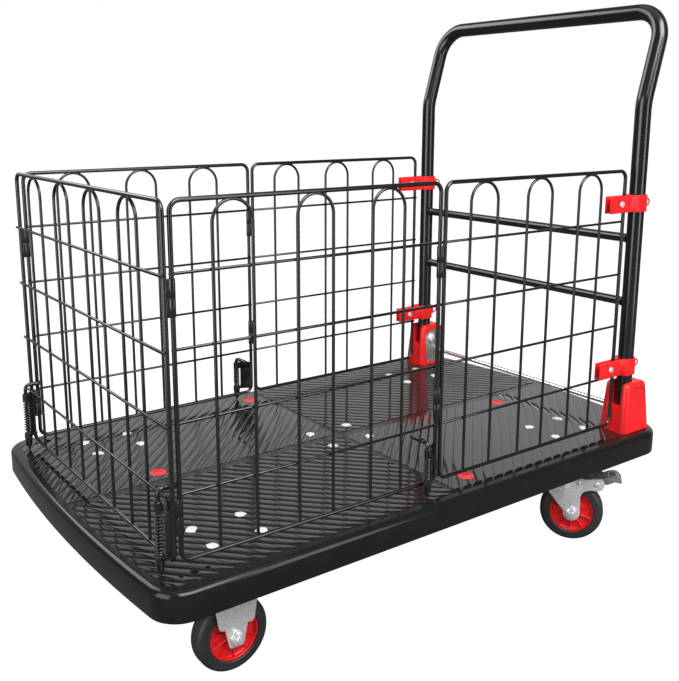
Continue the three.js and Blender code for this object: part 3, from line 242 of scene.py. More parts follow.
def pin(axis, radius, low, high, centre, sides=32, phase=0.0):
    """A round or many-sided bar along an axis, between two places on it."""
    fresh()
    place = on_axis(axis, (low + high) / 2, *centre)
    bpy.ops.mesh.primitive_cylinder_add(
        vertices=sides, radius=radius, depth=high - low, location=place, rotation=TURNS[axis])
    obj = settled()
    if phase:
        turn = Matrix.Translation(place) @ Matrix.Rotation(phase, 4, axis)
        obj.data.transform(turn @ Matrix.Translation(-place))
    return obj


def traced(points, closed=True):
    """In edit mode, a chain of edges through points, drawn by extruding one vertex."""
    fresh()
    bpy.ops.mesh.primitive_plane_add(size=MM, location=points[0])
    edit(settled())
    bpy.ops.mesh.merge(type="CENTER")
    here = points[0]
    for point in points[1:] + ([points[0]] if closed else []):
        extrude(point - here)
        here = point
    bpy.ops.mesh.select_all(action="SELECT")
    bpy.ops.mesh.remove_doubles(threshold=1e-6)
    return bpy.context.object


def plate(points, axis, low, high):
    """A plate of the outline points, thickened along an axis from low to high."""
    traced([on_axis(axis, low, a, b) for a, b in points])
    bpy.ops.mesh.edge_face_add()
    extrude(on_axis(axis, high - low, 0, 0))
    return outward()


def turned(profile, axis, steps=64, closed=True):
    """A turned piece from a profile of radius and place along its axis."""
    traced([on_axis(axis, p, r, 0) for r, p in profile], closed)
    bpy.ops.mesh.spin(
        steps=steps, angle=2 * math.pi, center=(0, 0, 0), axis=on_axis(axis, 1, 0, 0))
    return outward()


def rod(corners, radius, bends, sides=12, steps=6, closed=False):
    """A round wire along corners, bent to a radius at each inner one."""
    corners = [Vector(corner) for corner in corners]
    heading = (corners[1] - corners[0]).normalized()
    fresh()
    bpy.ops.mesh.primitive_circle_add(
        vertices=sides, radius=radius, fill_type="NOTHING" if closed else "NGON",
        location=corners[0], rotation=heading.to_track_quat("Z", "Y").to_euler())
    edit(settled())
    here = corners[0]
    for i in range(1, len(corners) - 1):
        bend = bends[i - 1] if isinstance(bends, (list, tuple)) else bends
        inward = (corners[i] - corners[i - 1]).normalized()
        onward = (corners[i + 1] - corners[i]).normalized()
        angle = inward.angle(onward)
        setback = bend * math.tan(angle / 2)
        start = corners[i] - inward * setback
        if (start - here).length > 1e-5:
            extrude(start - here)
        side = (onward - inward * onward.dot(inward)).normalized()
        bpy.ops.mesh.spin(
            steps=steps, angle=angle, center=start + side * bend,
            axis=-inward.cross(onward).normalized())
        here = corners[i] + onward * setback
    extrude(corners[-1] - here)
    return outward()


def coil(radius, wire, low, high, turns, centre):
    """A coil spring standing between two heights."""
    fresh()
    bpy.ops.mesh.primitive_circle_add(
        vertices=8, radius=wire, fill_type="NOTHING",
        location=(radius, 0, low + wire), rotation=(math.pi / 2, 0, 0))
    obj = settled()
    modified(
        obj, "SCREW", axis="Z", steps=16, render_steps=16, iterations=turns,
        screw_offset=(high - low - 2 * wire) / turns, use_merge_vertices=False)
    edit(obj)
    bpy.ops.mesh.fill_holes(sides=8)
    return placed(outward(), (centre[0], centre[1], 0))


def modified(obj, kind, **values):
    """Adds a modifier with its values and applies it."""
    only(obj)
    modifier = obj.modifiers.new(kind.title(), kind)
    for name, value in values.items():
        setattr(modifier, name, value)
    bpy.ops.object.modifier_apply(modifier=modifier.name)
    return obj


def bevelled(obj, width, segments=2, angle=40):
    """Rounds the edges that are sharper than an angle."""
    return modified(
        obj, "BEVEL", width=width, segments=segments, limit_method="ANGLE",
        angle_limit=math.radians(angle))


def joined(parts):
    """One object of all the parts."""
    fresh()
    for part in parts:
        part.select_set(True)
    bpy.context.view_layer.objects.active = parts[0]
    if len(parts) > 1:
        bpy.ops.object.join()
    return bpy.context.object


def cut(obj, *tools):
    """Takes the tools' shape out of an object and removes the tools."""
    tool = joined(list(tools))
    modified(obj, "BOOLEAN", operation="DIFFERENCE", object=tool, solver="EXACT")
    bpy.data.objects.remove(tool)
    return obj


def placed(obj, move, turn=0.0):
    """Turns a piece about Z and then moves it."""
    obj.data.transform(Matrix.Translation(move) @ Matrix.Rotation(turn, 4, "Z"))
    return obj


def copied(obj, move=(0, 0, 0), turn=0.0):
    """A copy with its own mesh, turned about Z and then moved."""
    only(obj)
    bpy.ops.object.duplicate()
    return placed(bpy.context.object, move, turn)


def mirrored_y(obj):
    """A copy mirrored across the middle plane of the cart."""
    twin = copied(obj)
    twin.data.transform(Matrix.Scale(-1, 4, (0, 1, 0)))
    edit(twin)
    return outward()


def finished(obj, name, body, material, replaces=(), smooth=35):
    """Names a piece, shades it, gives it its material and lets it ride on its body."""
    only(obj)
    settled()
    bpy.ops.object.shade_smooth_by_angle(angle=math.radians(smooth))
    obj.name = name
    obj.data.name = name
    obj.data.materials.clear()
    obj.data.materials.append(material)
    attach(obj, body)
    if replaces:
        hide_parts(*replaces)
    return obj


def coated(obj, name, body, node, smooth=35):
    """Finishes a black coated piece that takes the place of one CAD node."""
    return finished(obj, name, body, black_coat(), (node,), smooth)


def put(pattern, name, body, slot, material, place, turn, *nodes):
    """Copies a pattern to its place, finishes the copy and lets it ride there."""
    return finished(copied(pattern, place, turn), name, body, material, nodes)


def arc(centre, radius, start, end, steps):
    """Points on an arc, its angles in degrees."""
    points = []
    for step in range(steps + 1):
        angle = math.radians(start + (end - start) * step / steps)
        points.append((
            centre[0] + radius * math.cos(angle), centre[1] + radius * math.sin(angle)))
    return points


def both_ends(half):
    """A whole profile from the half below its middle, or from the half above it."""
    return half + [(r, -p) for r, p in reversed(half)]


def rounded_box(x0, x1, y0, y1, radius, steps=4):
    """Outline of a box with round corners."""
    return (
        arc((x1 - radius, y1 - radius), radius, 0, 90, steps)
        + arc((x0 + radius, y1 - radius), radius, 90, 180, steps)
        + arc((x0 + radius, y0 + radius), radius, 180, 270, steps)
        + arc((x1 - radius, y0 + radius), radius, 270, 360, steps))


def softened(points, radii, steps=5):
    """The outline's points with each corner rounded to its radius."""
    outline = []
    for i, (point, radius) in enumerate(zip(points, radii)):
        here = Vector(point)
        before = (Vector(points[i - 1]) - here).normalized()
        after = (Vector(points[(i + 1) % len(points)]) - here).normalized()
        if radius == 0:
            outline.append(tuple(here))
            continue
        half = before.angle(after) / 2
        setback = radius / math.tan(half)
        centre = here + (before + after).normalized() * radius / math.sin(half)
        start = here + before * setback - centre
        end = here + after * setback - centre
        swing = start.angle_signed(end)
        for step in range(steps + 1):
            outline.append(tuple(
                centre + Matrix.Rotation(-swing * step / steps, 2) @ start))
    return outline


# ---- finishes ----------------------------------------------------------------
MASK_MIDDLE = 0.5  # the value that noise varies round
DRIFT_SPAN = 0.15  # how far from it the drift between two colours is over
STREAKS = (60, 60, 900)  # streaks per metre along each axis
GRAIN_DEPTH = 0.0004


def preset(node, **values):
    """Sets a node's inputs by their names, an underscore standing for a space."""
    for name, value in values.items():
        node.inputs[name.replace("_", " ")].default_value = value
    return node


def shader_group(name, sockets, results):
    """A new node group with its inputs and outputs, and the nodes at its two ends."""
    group = bpy.data.node_groups.new(name, "ShaderNodeTree")
    for label, kind, default in sockets:
        socket = group.interface.new_socket(
            label, in_out="INPUT", socket_type=f"NodeSocket{kind}")
        socket.default_value = default
    for label, kind in results:
        group.interface.new_socket(label, in_out="OUTPUT", socket_type=f"NodeSocket{kind}")
    return group, group.nodes.new("NodeGroupInput"), group.nodes.new("NodeGroupOutput")


def noise_node(group, vector, detail, scale=None):
    """Noise over a vector, at a scale that is set here or linked later."""
    noise = preset(group.nodes.new("ShaderNodeTexNoise"), Detail=detail)
    if scale is not None:
        preset(noise, Scale=scale)
    group.links.new(vector, noise.inputs["Vector"])
    return noise


def varied_roughness(group, inputs, outputs, mask):
    """Puts out the roughness, moved up and down round its value by a mask."""
    centred = group.nodes.new("ShaderNodeMath")
    centred.operation = "SUBTRACT"
    centred.inputs[1].default_value = MASK_MIDDLE
    group.links.new(mask, centred.inputs[0])
    spread = group.nodes.new("ShaderNodeMath")
    spread.operation = "MULTIPLY_ADD"
    group.links.new(centred.outputs[0], spread.inputs[0])
    group.links.new(inputs.outputs["Variation"], spread.inputs[1])
    group.links.new(inputs.outputs["Roughness"], spread.inputs[2])
    group.links.new(spread.outputs[0], outputs.inputs["Roughness"])


def grain_group():
    """Fine surface grain: a height for Bump and a varied roughness."""
    if "Surface Grain" in bpy.data.node_groups:
        return bpy.data.node_groups["Surface Grain"]
    group, inputs, outputs = shader_group(
        "Surface Grain",
        (("Scale", "Float", 900.0), ("Roughness", "Float", 0.3), ("Variation", "Float", 0.1)),
        (("Height", "Float"), ("Roughness", "Float")))
    place = group.nodes.new("ShaderNodeTexCoord").outputs["Object"]
    fine = noise_node(group, place, 3)
    group.links.new(inputs.outputs["Scale"], fine.inputs["Scale"])
    group.links.new(fine.outputs["Fac"], outputs.inputs["Height"])
    broad = noise_node(group, place, 4, 14)
    varied_roughness(group, inputs, outputs, broad.outputs["Fac"])
    return group


def tint_group():
    """Slow drift between two close colours, as moulded and coated surfaces show."""
    if "Tone Drift" in bpy.data.node_groups:
        return bpy.data.node_groups["Tone Drift"]
    group, inputs, outputs = shader_group(
        "Tone Drift",
        (("Colour", "Color", (0, 0, 0, 1)), ("Drifted Colour", "Color", (0, 0, 0, 1)),
         ("Scale", "Float", 30)),
        (("Colour", "Color"),))
    add, link = group.nodes.new, group.links.new
    noise = noise_node(group, add("ShaderNodeTexCoord").outputs["Object"], 5)
    link(inputs.outputs["Scale"], noise.inputs["Scale"])
    ramp = preset(
        add("ShaderNodeMapRange"), From_Min=MASK_MIDDLE - DRIFT_SPAN,
        From_Max=MASK_MIDDLE + DRIFT_SPAN)
    link(noise.outputs["Fac"], ramp.inputs["Value"])
    mix = add("ShaderNodeMix")
    mix.data_type = "RGBA"
    link(ramp.outputs["Result"], mix.inputs["Factor"])
    link(inputs.outputs["Colour"], mix.inputs["A"])
    link(inputs.outputs["Drifted Colour"], mix.inputs["B"])
    link(mix.outputs["Result"], outputs.inputs["Colour"])
    return group


def brushed_group():
    """Short streaks in one direction, as rolled or brushed sheet shows."""
    if "Rolled Streaks" in bpy.data.node_groups:
        return bpy.data.node_groups["Rolled Streaks"]
    group, inputs, outputs = shader_group(
        "Rolled Streaks", (("Roughness", "Float", 0.3), ("Variation", "Float", 0.15)),
        (("Height", "Float"), ("Roughness", "Float")))
    stretch = preset(group.nodes.new("ShaderNodeMapping"), Scale=STREAKS)
    place = group.nodes.new("ShaderNodeTexCoord").outputs["Object"]
    group.links.new(place, stretch.inputs["Vector"])
    noise = noise_node(group, stretch.outputs["Vector"], 4, 1)
    group.links.new(noise.outputs["Fac"], outputs.inputs["Height"])
    varied_roughness(group, inputs, outputs, noise.outputs["Fac"])
    return group


def finish_of(name, colour, drift, roughness, variation, grain, bump, metallic=0.0,
              streaks=False, **sockets):
    """A Principled finish whose colour, roughness and grain vary over the surface."""
    if name in bpy.data.materials:
        return bpy.data.materials[name]
    material = bpy.data.materials.new(name)
    material.use_nodes = True
    nodes, link = material.node_tree.nodes, material.node_tree.links.new
    shader = preset(nodes["Principled BSDF"], Metallic=metallic, **sockets)
    tone = nodes.new("ShaderNodeGroup")
    tone.node_tree = tint_group()
    drifted = [value * drift for value in colour]
    preset(tone, Colour=(*colour, 1), Drifted_Colour=(*drifted, 1))
    link(tone.outputs["Colour"], shader.inputs["Base Color"])
    surface = nodes.new("ShaderNodeGroup")
    surface.node_tree = brushed_group() if streaks else grain_group()
    preset(surface, Roughness=roughness, Variation=variation)
    if not streaks:
        preset(surface, Scale=grain)
    link(surface.outputs["Roughness"], shader.inputs["Roughness"])
    relief = preset(nodes.new("ShaderNodeBump"), Strength=bump, Distance=GRAIN_DEPTH)
    link(surface.outputs["Height"], relief.inputs["Height"])
    link(relief.outputs["Normal"], shader.inputs["Normal"])
    return material


def black_plastic():
    """The platform's glossy ribs."""
    return finish_of(
        "Glossy black moulding", bpy.context.scene.cart_deck.colour, 1.25, 0.06, 0.03, 240,
        0.01, Coat_Weight=0.3, Coat_Roughness=0.06)


def body_plastic():
    """The platform's moulded body."""
    return finish_of(
        "Black moulded body", bpy.context.scene.cart_deck.colour, 1.25, 0.15, 0.05, 240, 0.02,
        Specular_IOR_Level=0.28)


def web_plastic():
    """The webs and bosses under the platform."""
    colour = [value * 1.15 for value in bpy.context.scene.cart_deck.colour]
    return finish_of("Satin black moulding", colour, 1.2, 0.42, 0.08, 900, 0.06)


def black_coat():
    """The coat of the cage, the latches and the handle."""
    return finish_of(
        "Black powder coat", bpy.context.scene.cart_handle.black, 1.3, 0.22, 0.05, 700, 0.008,
        Coat_Weight=0.25, Coat_Roughness=0.12)


def red_plastic():
    """Caps, wheel cores, clamps and brackets."""
    return finish_of(
        "Red moulding", bpy.context.scene.cart_wheel.red, 0.86, 0.33, 0.10, 1400, 0.10)


def red_lacquer():
    """The clamps' pull pins."""
    return finish_of(
        "Red lacquered steel", bpy.context.scene.cart_wheel.red, 0.8, 0.22, 0.06, 900, 0.05,
        metallic=0.5)


def tyre_rubber():
    """The tyres."""
    return finish_of(
        "Black tyre rubber", (0.018, 0.018, 0.019), 1.4, 0.50, 0.12, 1600, 0.18)


def zinc():
    """Forks, top plates and the plate under the platform."""
    return finish_of(
        "Bright zinc plate", (0.88, 0.89, 0.90), 0.92, 0.28, 0.14, 0, 0.03, metallic=0.48,
        streaks=True)


def bright_zinc():
    """The bolts in the platform and the pivot pins."""
    return finish_of(
        "White zinc bolts", (0.86, 0.87, 0.88), 0.95, 0.30, 0.08, 900, 0.03, metallic=0.35)


def chrome():
    """The release bar."""
    return finish_of(
        "Polished chrome", (0.80, 0.80, 0.81), 0.97, 0.17, 0.03, 600, 0.004, metallic=0.96)


def bright_steel():
    """Axle bolts and clamp screws."""
    return finish_of(
        "Bright turned steel", (0.90, 0.90, 0.91), 0.97, 0.16, 0.03, 600, 0.004,
        metallic=0.62)


def grey_steel():
    """Brake pedals and the brackets' inner plates."""
    return finish_of(
        "Grey pressed steel", (0.34, 0.345, 0.35), 0.85, 0.30, 0.12, 0, 0.03, metallic=0.6,
        streaks=True)


# ---- platform ------------------------------------------------------------------
FIELD_Z = DECK_TOP - 0.0005  # moulded surface that the ribs stand on
FRONT_BOW = (2.6, 0.042)  # plan radius of the bowed end and of its corners
REAR_BOW = (1.3, 0.050)
RIB_FRONT = (0.017, 0.490)  # where the ribs start and end, from the middle to each end
RIB_REAR = (-0.007, 0.486)
RIB_SIDE = (0.009, 0.284)
RIB_SHARE = 0.475  # half a rib's width as a share of the pitch
RIB_LENGTH = 0.62  # longer than any rib, which is then cut to its quarter
SKIRT_WALL = 0.0035
SKIRT_DEPTH = 0.0355
CASTOR_PLATE = Vector((0.048, 0.0395))  # half the castors' top plates
CASTOR_TOP = 0.140
BOLT_PATTERN = (0.037, 0.0285)  # half the castor bolts' spacing
MIDDLE_BOLTS = (0.0385, 0.033)
MIDDLE_X = 0.012
SOCKETS = (0.0025, 0.0045, 0.0025)  # radii of the pin sockets beside a front latch
SOCKET_FIRST = Vector((0.444, 0.265))
SOCKET_PITCH = 0.018
ABOVE = DECK_TOP + 0.002  # clear above the platform, for tools that cut into it
SEAT = 0.1985  # height in the platform where caps and bolts start and long webs end
WEB = 0.0015  # half the thickness of the underside's webs


def deck_outline(inset=0.0):
    """The platform's plan: straight sides, bowed ends and round corners."""
    half = DECK_HIGH.y

    def end(bow, corner, reach, way):
        """One bowed end with its two corners."""
        across = half - corner
        run = math.sqrt((bow - corner) ** 2 - across ** 2)
        centre = reach - bow
        spread = math.degrees(math.atan2(across, run))
        side = arc((centre + run, across), corner - inset, 90, spread, 10)
        middle = arc((centre, 0), bow - inset, spread, -spread, 16)[1:-1]
        back = [(x, -y) for x, y in reversed(side)]
        return [(way * x, way * y) for x, y in side + middle + back]

    return end(*FRONT_BOW, DECK_HIGH.x, 1) + end(*REAR_BOW, -DECK_LOW.x, -1)


def socket_places():
    """The three pin sockets beside each front corner latch, with their radii."""
    spots = []
    for side in SIDES.values():
        for step, radius in enumerate(SOCKETS):
            spots.append((
                SOCKET_FIRST.x - SOCKET_PITCH * step, side * SOCKET_FIRST.y, radius))
    return spots


def socket_tools(wider, deeper):
    """Tools that cut the pin sockets, this much wider and this deep."""
    return [pin("Z", radius + wider, FIELD_Z - deeper, ABOVE, (x, y), 20)
            for x, y, radius in socket_places()]


def bolt_places():
    """The bolts of the castors, four each, and of the plate in the middle."""
    signs = [(sx, sy) for sx in (-1, 1) for sy in (-1, 1)]
    across, along = BOLT_PATTERN
    spots = []
    for name in ("front_wheel_spin", "swivel_turn"):
        for side in SIDES:
            middle = CASTORS[f"{name}_{side}"]
            spots += [(middle.x + sx * across, middle.y + sy * along) for sx, sy in signs]
    across, along = MIDDLE_BOLTS
    return spots + [(MIDDLE_X + sx * across, sy * along) for sx, sy in signs]


def rib_quadrant(way, side, pitch, relief):
    """Ribs of one quarter of the platform, running away from its middle at 45 degrees."""
    near, far = RIB_FRONT if way > 0 else RIB_REAR
    low_y, high_y = RIB_SIDE
    along = Vector((-way, side, 0)).normalized()
    across = Vector((way, side, 0)).normalized()
    first = (near + low_y) / math.sqrt(2)
    last = (far + high_y) / math.sqrt(2)
    count = math.ceil((last - first) / pitch) + 1
    start = across * first + along * ((low_y - far + high_y - near) / 2 / math.sqrt(2))
    turn = Matrix((across, along.cross(across), along)).transposed()
    radius = pitch * RIB_SHARE
    fresh()
    bpy.ops.mesh.primitive_cylinder_add(
        vertices=24, radius=radius, depth=RIB_LENGTH, end_fill_type="NGON",
        location=(start.x, start.y, FIELD_Z), rotation=turn.to_euler(),
        scale=(1, relief / radius, 1))
    obj = bpy.context.object
    modified(
        obj, "ARRAY", count=count, use_relative_offset=False, use_constant_offset=True,
        constant_offset_displace=(pitch, 0, 0))
    only(obj)
    edit(settled())
    limits = [
        ((way * near, 0, 0), (-way, 0, 0)), ((way * far, 0, 0), (way, 0, 0)),
        ((0, side * low_y, 0), (0, -side, 0)), ((0, side * high_y, 0), (0, side, 0)),
        ((0, 0, FIELD_Z - 0.0003), (0, 0, -1)),
    ]
    for place, normal in limits:
        bpy.ops.mesh.select_all(action="SELECT")
        bpy.ops.mesh.bisect(
            plane_co=place, plane_no=normal, use_fill=True, clear_outer=True)
    return outward()


class CART_OT_platform(bpy.types.Operator):
    """Model the moulded platform with its skirt, underside ribs and anti-slip top"""
    bl_idname = "cart.platform"
    bl_label = "Platform"

    def execute(self, context):
        values = context.scene.cart_deck
        deck = plate(deck_outline(), "Z", SKIRT_LOW, FIELD_Z)
        edit(deck)
        pick(deck, "edges", lambda e: all(v.co.z > FIELD_Z - MM for v in e.verts))
        bpy.ops.mesh.bevel(
            offset=values.edge_radius, offset_type="OFFSET", segments=7, profile=0.5)
        pick(deck, "edges", lambda e: all(v.co.z < SKIRT_LOW + 0.1 * MM for v in e.verts))
        bpy.ops.mesh.bevel(offset=0.0012, offset_type="OFFSET", segments=2)
        pick(deck, "faces", lambda f: f.normal.z < -0.99)
        bpy.ops.mesh.inset(thickness=SKIRT_WALL)
        extrude((0, 0, SKIRT_DEPTH))
        outward()
        cut(deck, *socket_tools(0, 0.0028))
        finished(
            deck, "platform", "frame", body_plastic(), ("deck",), smooth=30)

        ribs = [rib_quadrant(way, side, values.rib_pitch, values.rib_relief)
                for way in (1, -1) for side in (1, -1)]
        tread = joined(ribs)
        field = plate(deck_outline(0.015), "Z", FIELD_Z - 0.002, ABOVE)
        modified(tread, "BOOLEAN", operation="INTERSECT", object=field, solver="EXACT")
        bpy.data.objects.remove(field)
        cut(tread, *socket_tools(0.0015, 0.002))
        finished(
            tread, "platform_tread", "frame", black_plastic(), smooth=50)

        webs = []
        rows, columns = 7, 12
        for row in range(1, rows):
            y = 2 * DECK_HIGH.y * (row / rows - 0.5)
            webs.append(block(-0.470, 0.480, y - WEB, y + WEB, 0.167, SEAT))
        for column in range(1, columns):
            x = 2 * DECK_HIGH.x * (column / columns - 0.5)
            webs.append(block(x - WEB, x + WEB, -0.2985, 0.2985, 0.1672, 0.1983))
        half = CASTOR_PLATE
        for name in ("front_wheel_spin", "swivel_turn"):
            for side in SIDES:
                middle = CASTORS[f"{name}_{side}"]
                webs.append(bevelled(block(
                    middle.x - half.x, middle.x + half.x, middle.y - half.y,
                    middle.y + half.y, CASTOR_TOP + 0.0003, 0.1975), 0.0015, 2))
        webs.append(bevelled(block(-0.037, 0.061, -0.044, 0.044, 0.1671, 0.1975), MM, 2))
        finished(
            joined(webs), "platform_underside", "frame", web_plastic())
        return {"FINISHED"}


class CART_OT_deck_fittings(bpy.types.Operator):
    """Model the red caps and the bolt heads, and give the steel plate under the platform its
    finish
    """
    bl_idname = "cart.deck_fittings"
    bl_label = "Platform fittings"

    def execute(self, context):
        for name in ("cap_front", "cap_rear", "cap_left", "cap_right"):
            low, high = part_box(name)
            middle = (low + high) / 2
            disc = turned([
                (0, SEAT), (0.0130, SEAT), (0.0130, 0.2019), (0.0126, 0.2024),
                (0.0118, 0.2027), (0.0112, 0.2027), (0.0106, 0.2024), (0, 0.2026),
            ], "Z", 48, closed=False)
            placed(disc, (middle.x, middle.y, 0))
            finished(disc, f"{name}_disc", "frame", red_plastic(), (name,))

        head = bevelled(pin("Z", 0.0078, SEAT, 0.2031, (0, 0), 6), 0.0006, 2)
        washer = turned([
            (0.0040, SEAT), (0.0092, SEAT), (0.0092, 0.2019), (0.0088, 0.2021),
            (0.0040, 0.2021)], "Z", 32)
        bolt = joined([head, washer])
        for number, (x, y) in enumerate(bolt_places(), 1):
            twin = copied(bolt, (x, y, 0), turn=0.4 * number)
            finished(twin, f"bolt_{number:02d}", "frame", bright_zinc())
        bpy.data.objects.remove(bolt)
        paint(("center_plate",), zinc())
        return {"FINISHED"}


def paint(names, material):
    """Gives carried-over CAD nodes their finish."""
    for name in names:
        mesh = frame["nodes"][name].data
        mesh.materials.clear()
        mesh.materials.append(material)


# ---- castors --------------------------------------------------------------------
CHEEK = (0.0185, 0.0210)  # inner and outer face of the fork's cheeks
AXLE_BORE = 0.0053


def tyre_piece(values):
    """The tyre ring, with round shoulders."""
    half, outer, inner = values.tyre_width / 2, WHEEL_RADIUS, values.core_radius + CLEAR
    shoulder, steps = 0.0095, 7
    profile = [(inner, -half + 0.001), (inner + 0.0012, -half)]
    profile += [(outer - 0.012, -half), (outer - 0.0108, -half + 0.0006)]
    for step in range(1, steps + 1):
        angle = math.pi / 2 * step / steps
        profile.append((
            outer - shoulder + shoulder * math.sin(angle),
            -half + shoulder * (1 - math.cos(angle))))
    return turned(both_ends(profile), "Y", 72)


def core_piece(values):
    """The wheel core: hub, web, rim and a ring of fine radial ribs on each face."""
    rim, hub = values.tyre_width / 2 - 0.0015, CHEEK[0] - 0.0005
    outer = values.core_radius
    half = [
        (0.0058, hub), (0.0105, hub), (0.0115, hub - 0.001), (0.0120, 0.0095),
        (0.0135, 0.0085), (outer - 0.0045, 0.0085), (outer - 0.0032, 0.0095),
        (outer - 0.0026, rim - 0.0005), (outer - 0.0020, rim), (outer - 0.0004, rim),
        (outer, rim - 0.0006),
    ]
    parts = [turned(both_ends(half), "Y", 72)]
    inner, length = 0.0112, outer - 0.0025
    for number in range(values.core_ribs):
        angle = 2 * math.pi * (number + 0.5) / values.core_ribs
        rib = block(inner, length, -rim + 0.0012, rim - 0.0012, -0.0007, 0.0007)
        rib.data.transform(Matrix.Rotation(angle, 4, "Y"))
        parts.append(rib)
    return bevelled(joined(parts), 0.0003, 1)


def axle_piece():
    """Hexagon bolt with a washer at one end and a nut with its thread end at the other."""
    face = CHEEK[1] + CLEAR
    bars = (
        (0.0100, face + 0.0012, face + 0.0062, 6, 0.3, 0.0009, 2),
        (0.0100, -face - 0.0058, -face - 0.0012, 6, 0.1, 0.0009, 2),
        (0.0118, face, face + 0.0012, 40, 0, 0.0003, 1),
        (0.0118, -face - 0.0012, -face, 40, 0, 0.0003, 1),
        (0.0050, -face - 0.0074, face + 0.0058, 32, 0, 0.0008, 2),
        (0.0052, face + 0.0060, face + 0.0086, 32, 0, 0.0012, 3),
    )
    return joined([
        bevelled(pin("Y", radius, low, high, (0, 0), sides, phase), width, segments)
        for radius, low, high, sides, phase, width, segments in bars])


def castor_plate():
    """A castor's top plate."""
    half = CASTOR_PLATE
    outline = rounded_box(-half.x, half.x, -half.y, half.y, 0.006, 5)
    return plate(outline, "Z", CASTOR_TOP - 0.003, CASTOR_TOP)


def curve(start, control, end, steps=6):
    """Points on a curve drawn towards a control point."""
    points = []
    for step in range(steps + 1):
        t = step / steps
        points.append(tuple(
            (1 - t) ** 2 * a + 2 * t * (1 - t) * b + t * t * c
            for a, b, c in zip(start, control, end)))
    return points


def cheek(outline, side, axle_x):
    """One cheek of a fork, with the axle's bore."""
    low, high = sorted((side * CHEEK[0], side * CHEEK[1]))
    hole = (axle_x, WHEEL_RADIUS)
    sheet = plate(outline, "Y", low, high)
    return bevelled(
        cut(sheet, pin("Y", AXLE_BORE, low - MM, high + MM, hole, 32)), 0.0005, 2)


def rigid_fork():
    """Fixed fork: a wide folded band above a narrow leg on each side of the wheel."""
    leg = softened(
        [(-0.0190, 0.110), (-0.0175, 0.072), (-0.0105, 0.0405), (0.0105, 0.0405),
         (0.0175, 0.072), (0.0190, 0.110)], [0, 0.008, 0.004, 0.004, 0.008, 0])
    band = softened(
        [(-0.038, 0.1385), (-0.0262, 0.072), (-0.0045, 0.072), (-0.003, 0.0695),
         (0.003, 0.0695), (0.0045, 0.072), (0.0262, 0.072), (0.038, 0.1385)],
        [0, 0.006, 0.001, 0.001, 0.001, 0.001, 0.006, 0])
    parts = []
    for side in (1, -1):
        parts.append(cheek(leg, side, 0))
        low, high = sorted((side * (CHEEK[1] - 0.0006), side * (CHEEK[1] + 0.0022)))
        parts.append(bevelled(plate(band, "Y", low, high), 0.0008, 3))
    crown = block(-0.038, 0.038, -CHEEK[1], CHEEK[1], 0.134, 0.138)
    parts += [bevelled(crown, 0.001, 2), bevelled(castor_plate(), 0.0006, 2)]
    return joined(parts)


def swivel_plate():
    """Swivel castor's top plate with the upper race, the kingpin and its nut."""
    parts = [
        bevelled(castor_plate(), 0.0006, 2),
        turned([
            (0, 0.1375), (0.0262, 0.1375), (0.0268, 0.1355), (0.0262, 0.1300),
            (0.0240, 0.1262), (0.0225, 0.1246), (0, 0.1246)], "Z", 56, closed=False),
        pin("Z", 0.006, 0.111, 0.137, (0, 0), 24),
        bevelled(pin("Z", 0.0088, 0.111, 0.1154, (0, 0), 6), 0.0005, 2),
    ]
    return joined(parts)


RIVET_Z = 0.112
RIVETS = (0.042, 0.073)  # the pedal turns on the second one
FOLD = 0.0194  # where the swivel fork's cheek is bent towards the wheel


def swivel_fork():
    """Swivel fork: two cheeks under a crown with its race, and an arm to the pedal."""
    outline = [(FOLD, 0.119), (FOLD, 0.0571)]
    outline += arc((TRAIL, WHEEL_RADIUS), 0.014, 167, 360, 14)[1:]
    outline += [(TRAIL + 0.014, 0.084)]
    outline += curve((TRAIL + 0.0145, 0.088), (0.049, 0.098), (0.0665, 0.0995), 6)
    outline += arc((RIVETS[1], RIVET_Z), 0.013, -80, 54, 9)
    outline += [(0.056, 0.119)]
    parts = []
    for side in (1, -1):
        low, high = sorted((side * CHEEK[0], side * CHEEK[1]))
        parts.append(cheek(outline, side, TRAIL))
        wing = bevelled(plate(
            [(-0.026, 0.119), (-0.026, 0.111), (FOLD, 0.0571), (FOLD, 0.119)],
            "Y", low, high), 0.0005, 2)
        pivot = Vector((FOLD, side * CHEEK[1], 0))
        wing.data.transform(
            Matrix.Translation(pivot) @ Matrix.Rotation(side * math.radians(6), 4, "Z")
            @ Matrix.Translation(-pivot))
        parts.append(wing)
        for x in RIVETS:
            head = turned([
                (0, 0), (0.0046, 0), (0.0046, 0.0004), (0.0041, 0.0013), (0.0028, 0.0020),
                (0, 0.0023)], "Y", 28, closed=False)
            turn = math.pi if side < 0 else 0
            parts.append(placed(head, (x, side * CHEEK[1], RIVET_Z), turn))
    parts += [pin("Y", 0.0025, -CHEEK[1], CHEEK[1], (x, RIVET_Z), 20) for x in RIVETS]
    crown = plate(rounded_box(-0.026, 0.030, -CHEEK[1], CHEEK[1], 0.004, 4), "Z", 0.116, 0.119)
    hole = pin("Z", 0.0066, 0.11, 0.13, (0, 0), 32)
    race = turned([
        (0.0066, 0.1185), (0.0270, 0.1185), (0.0274, 0.1200), (0.0268, 0.1228),
        (0.0250, 0.1240), (0.0066, 0.1240)], "Z", 56)
    parts += [bevelled(cut(crown, hole), 0.0006, 2), race]
    return joined(parts)


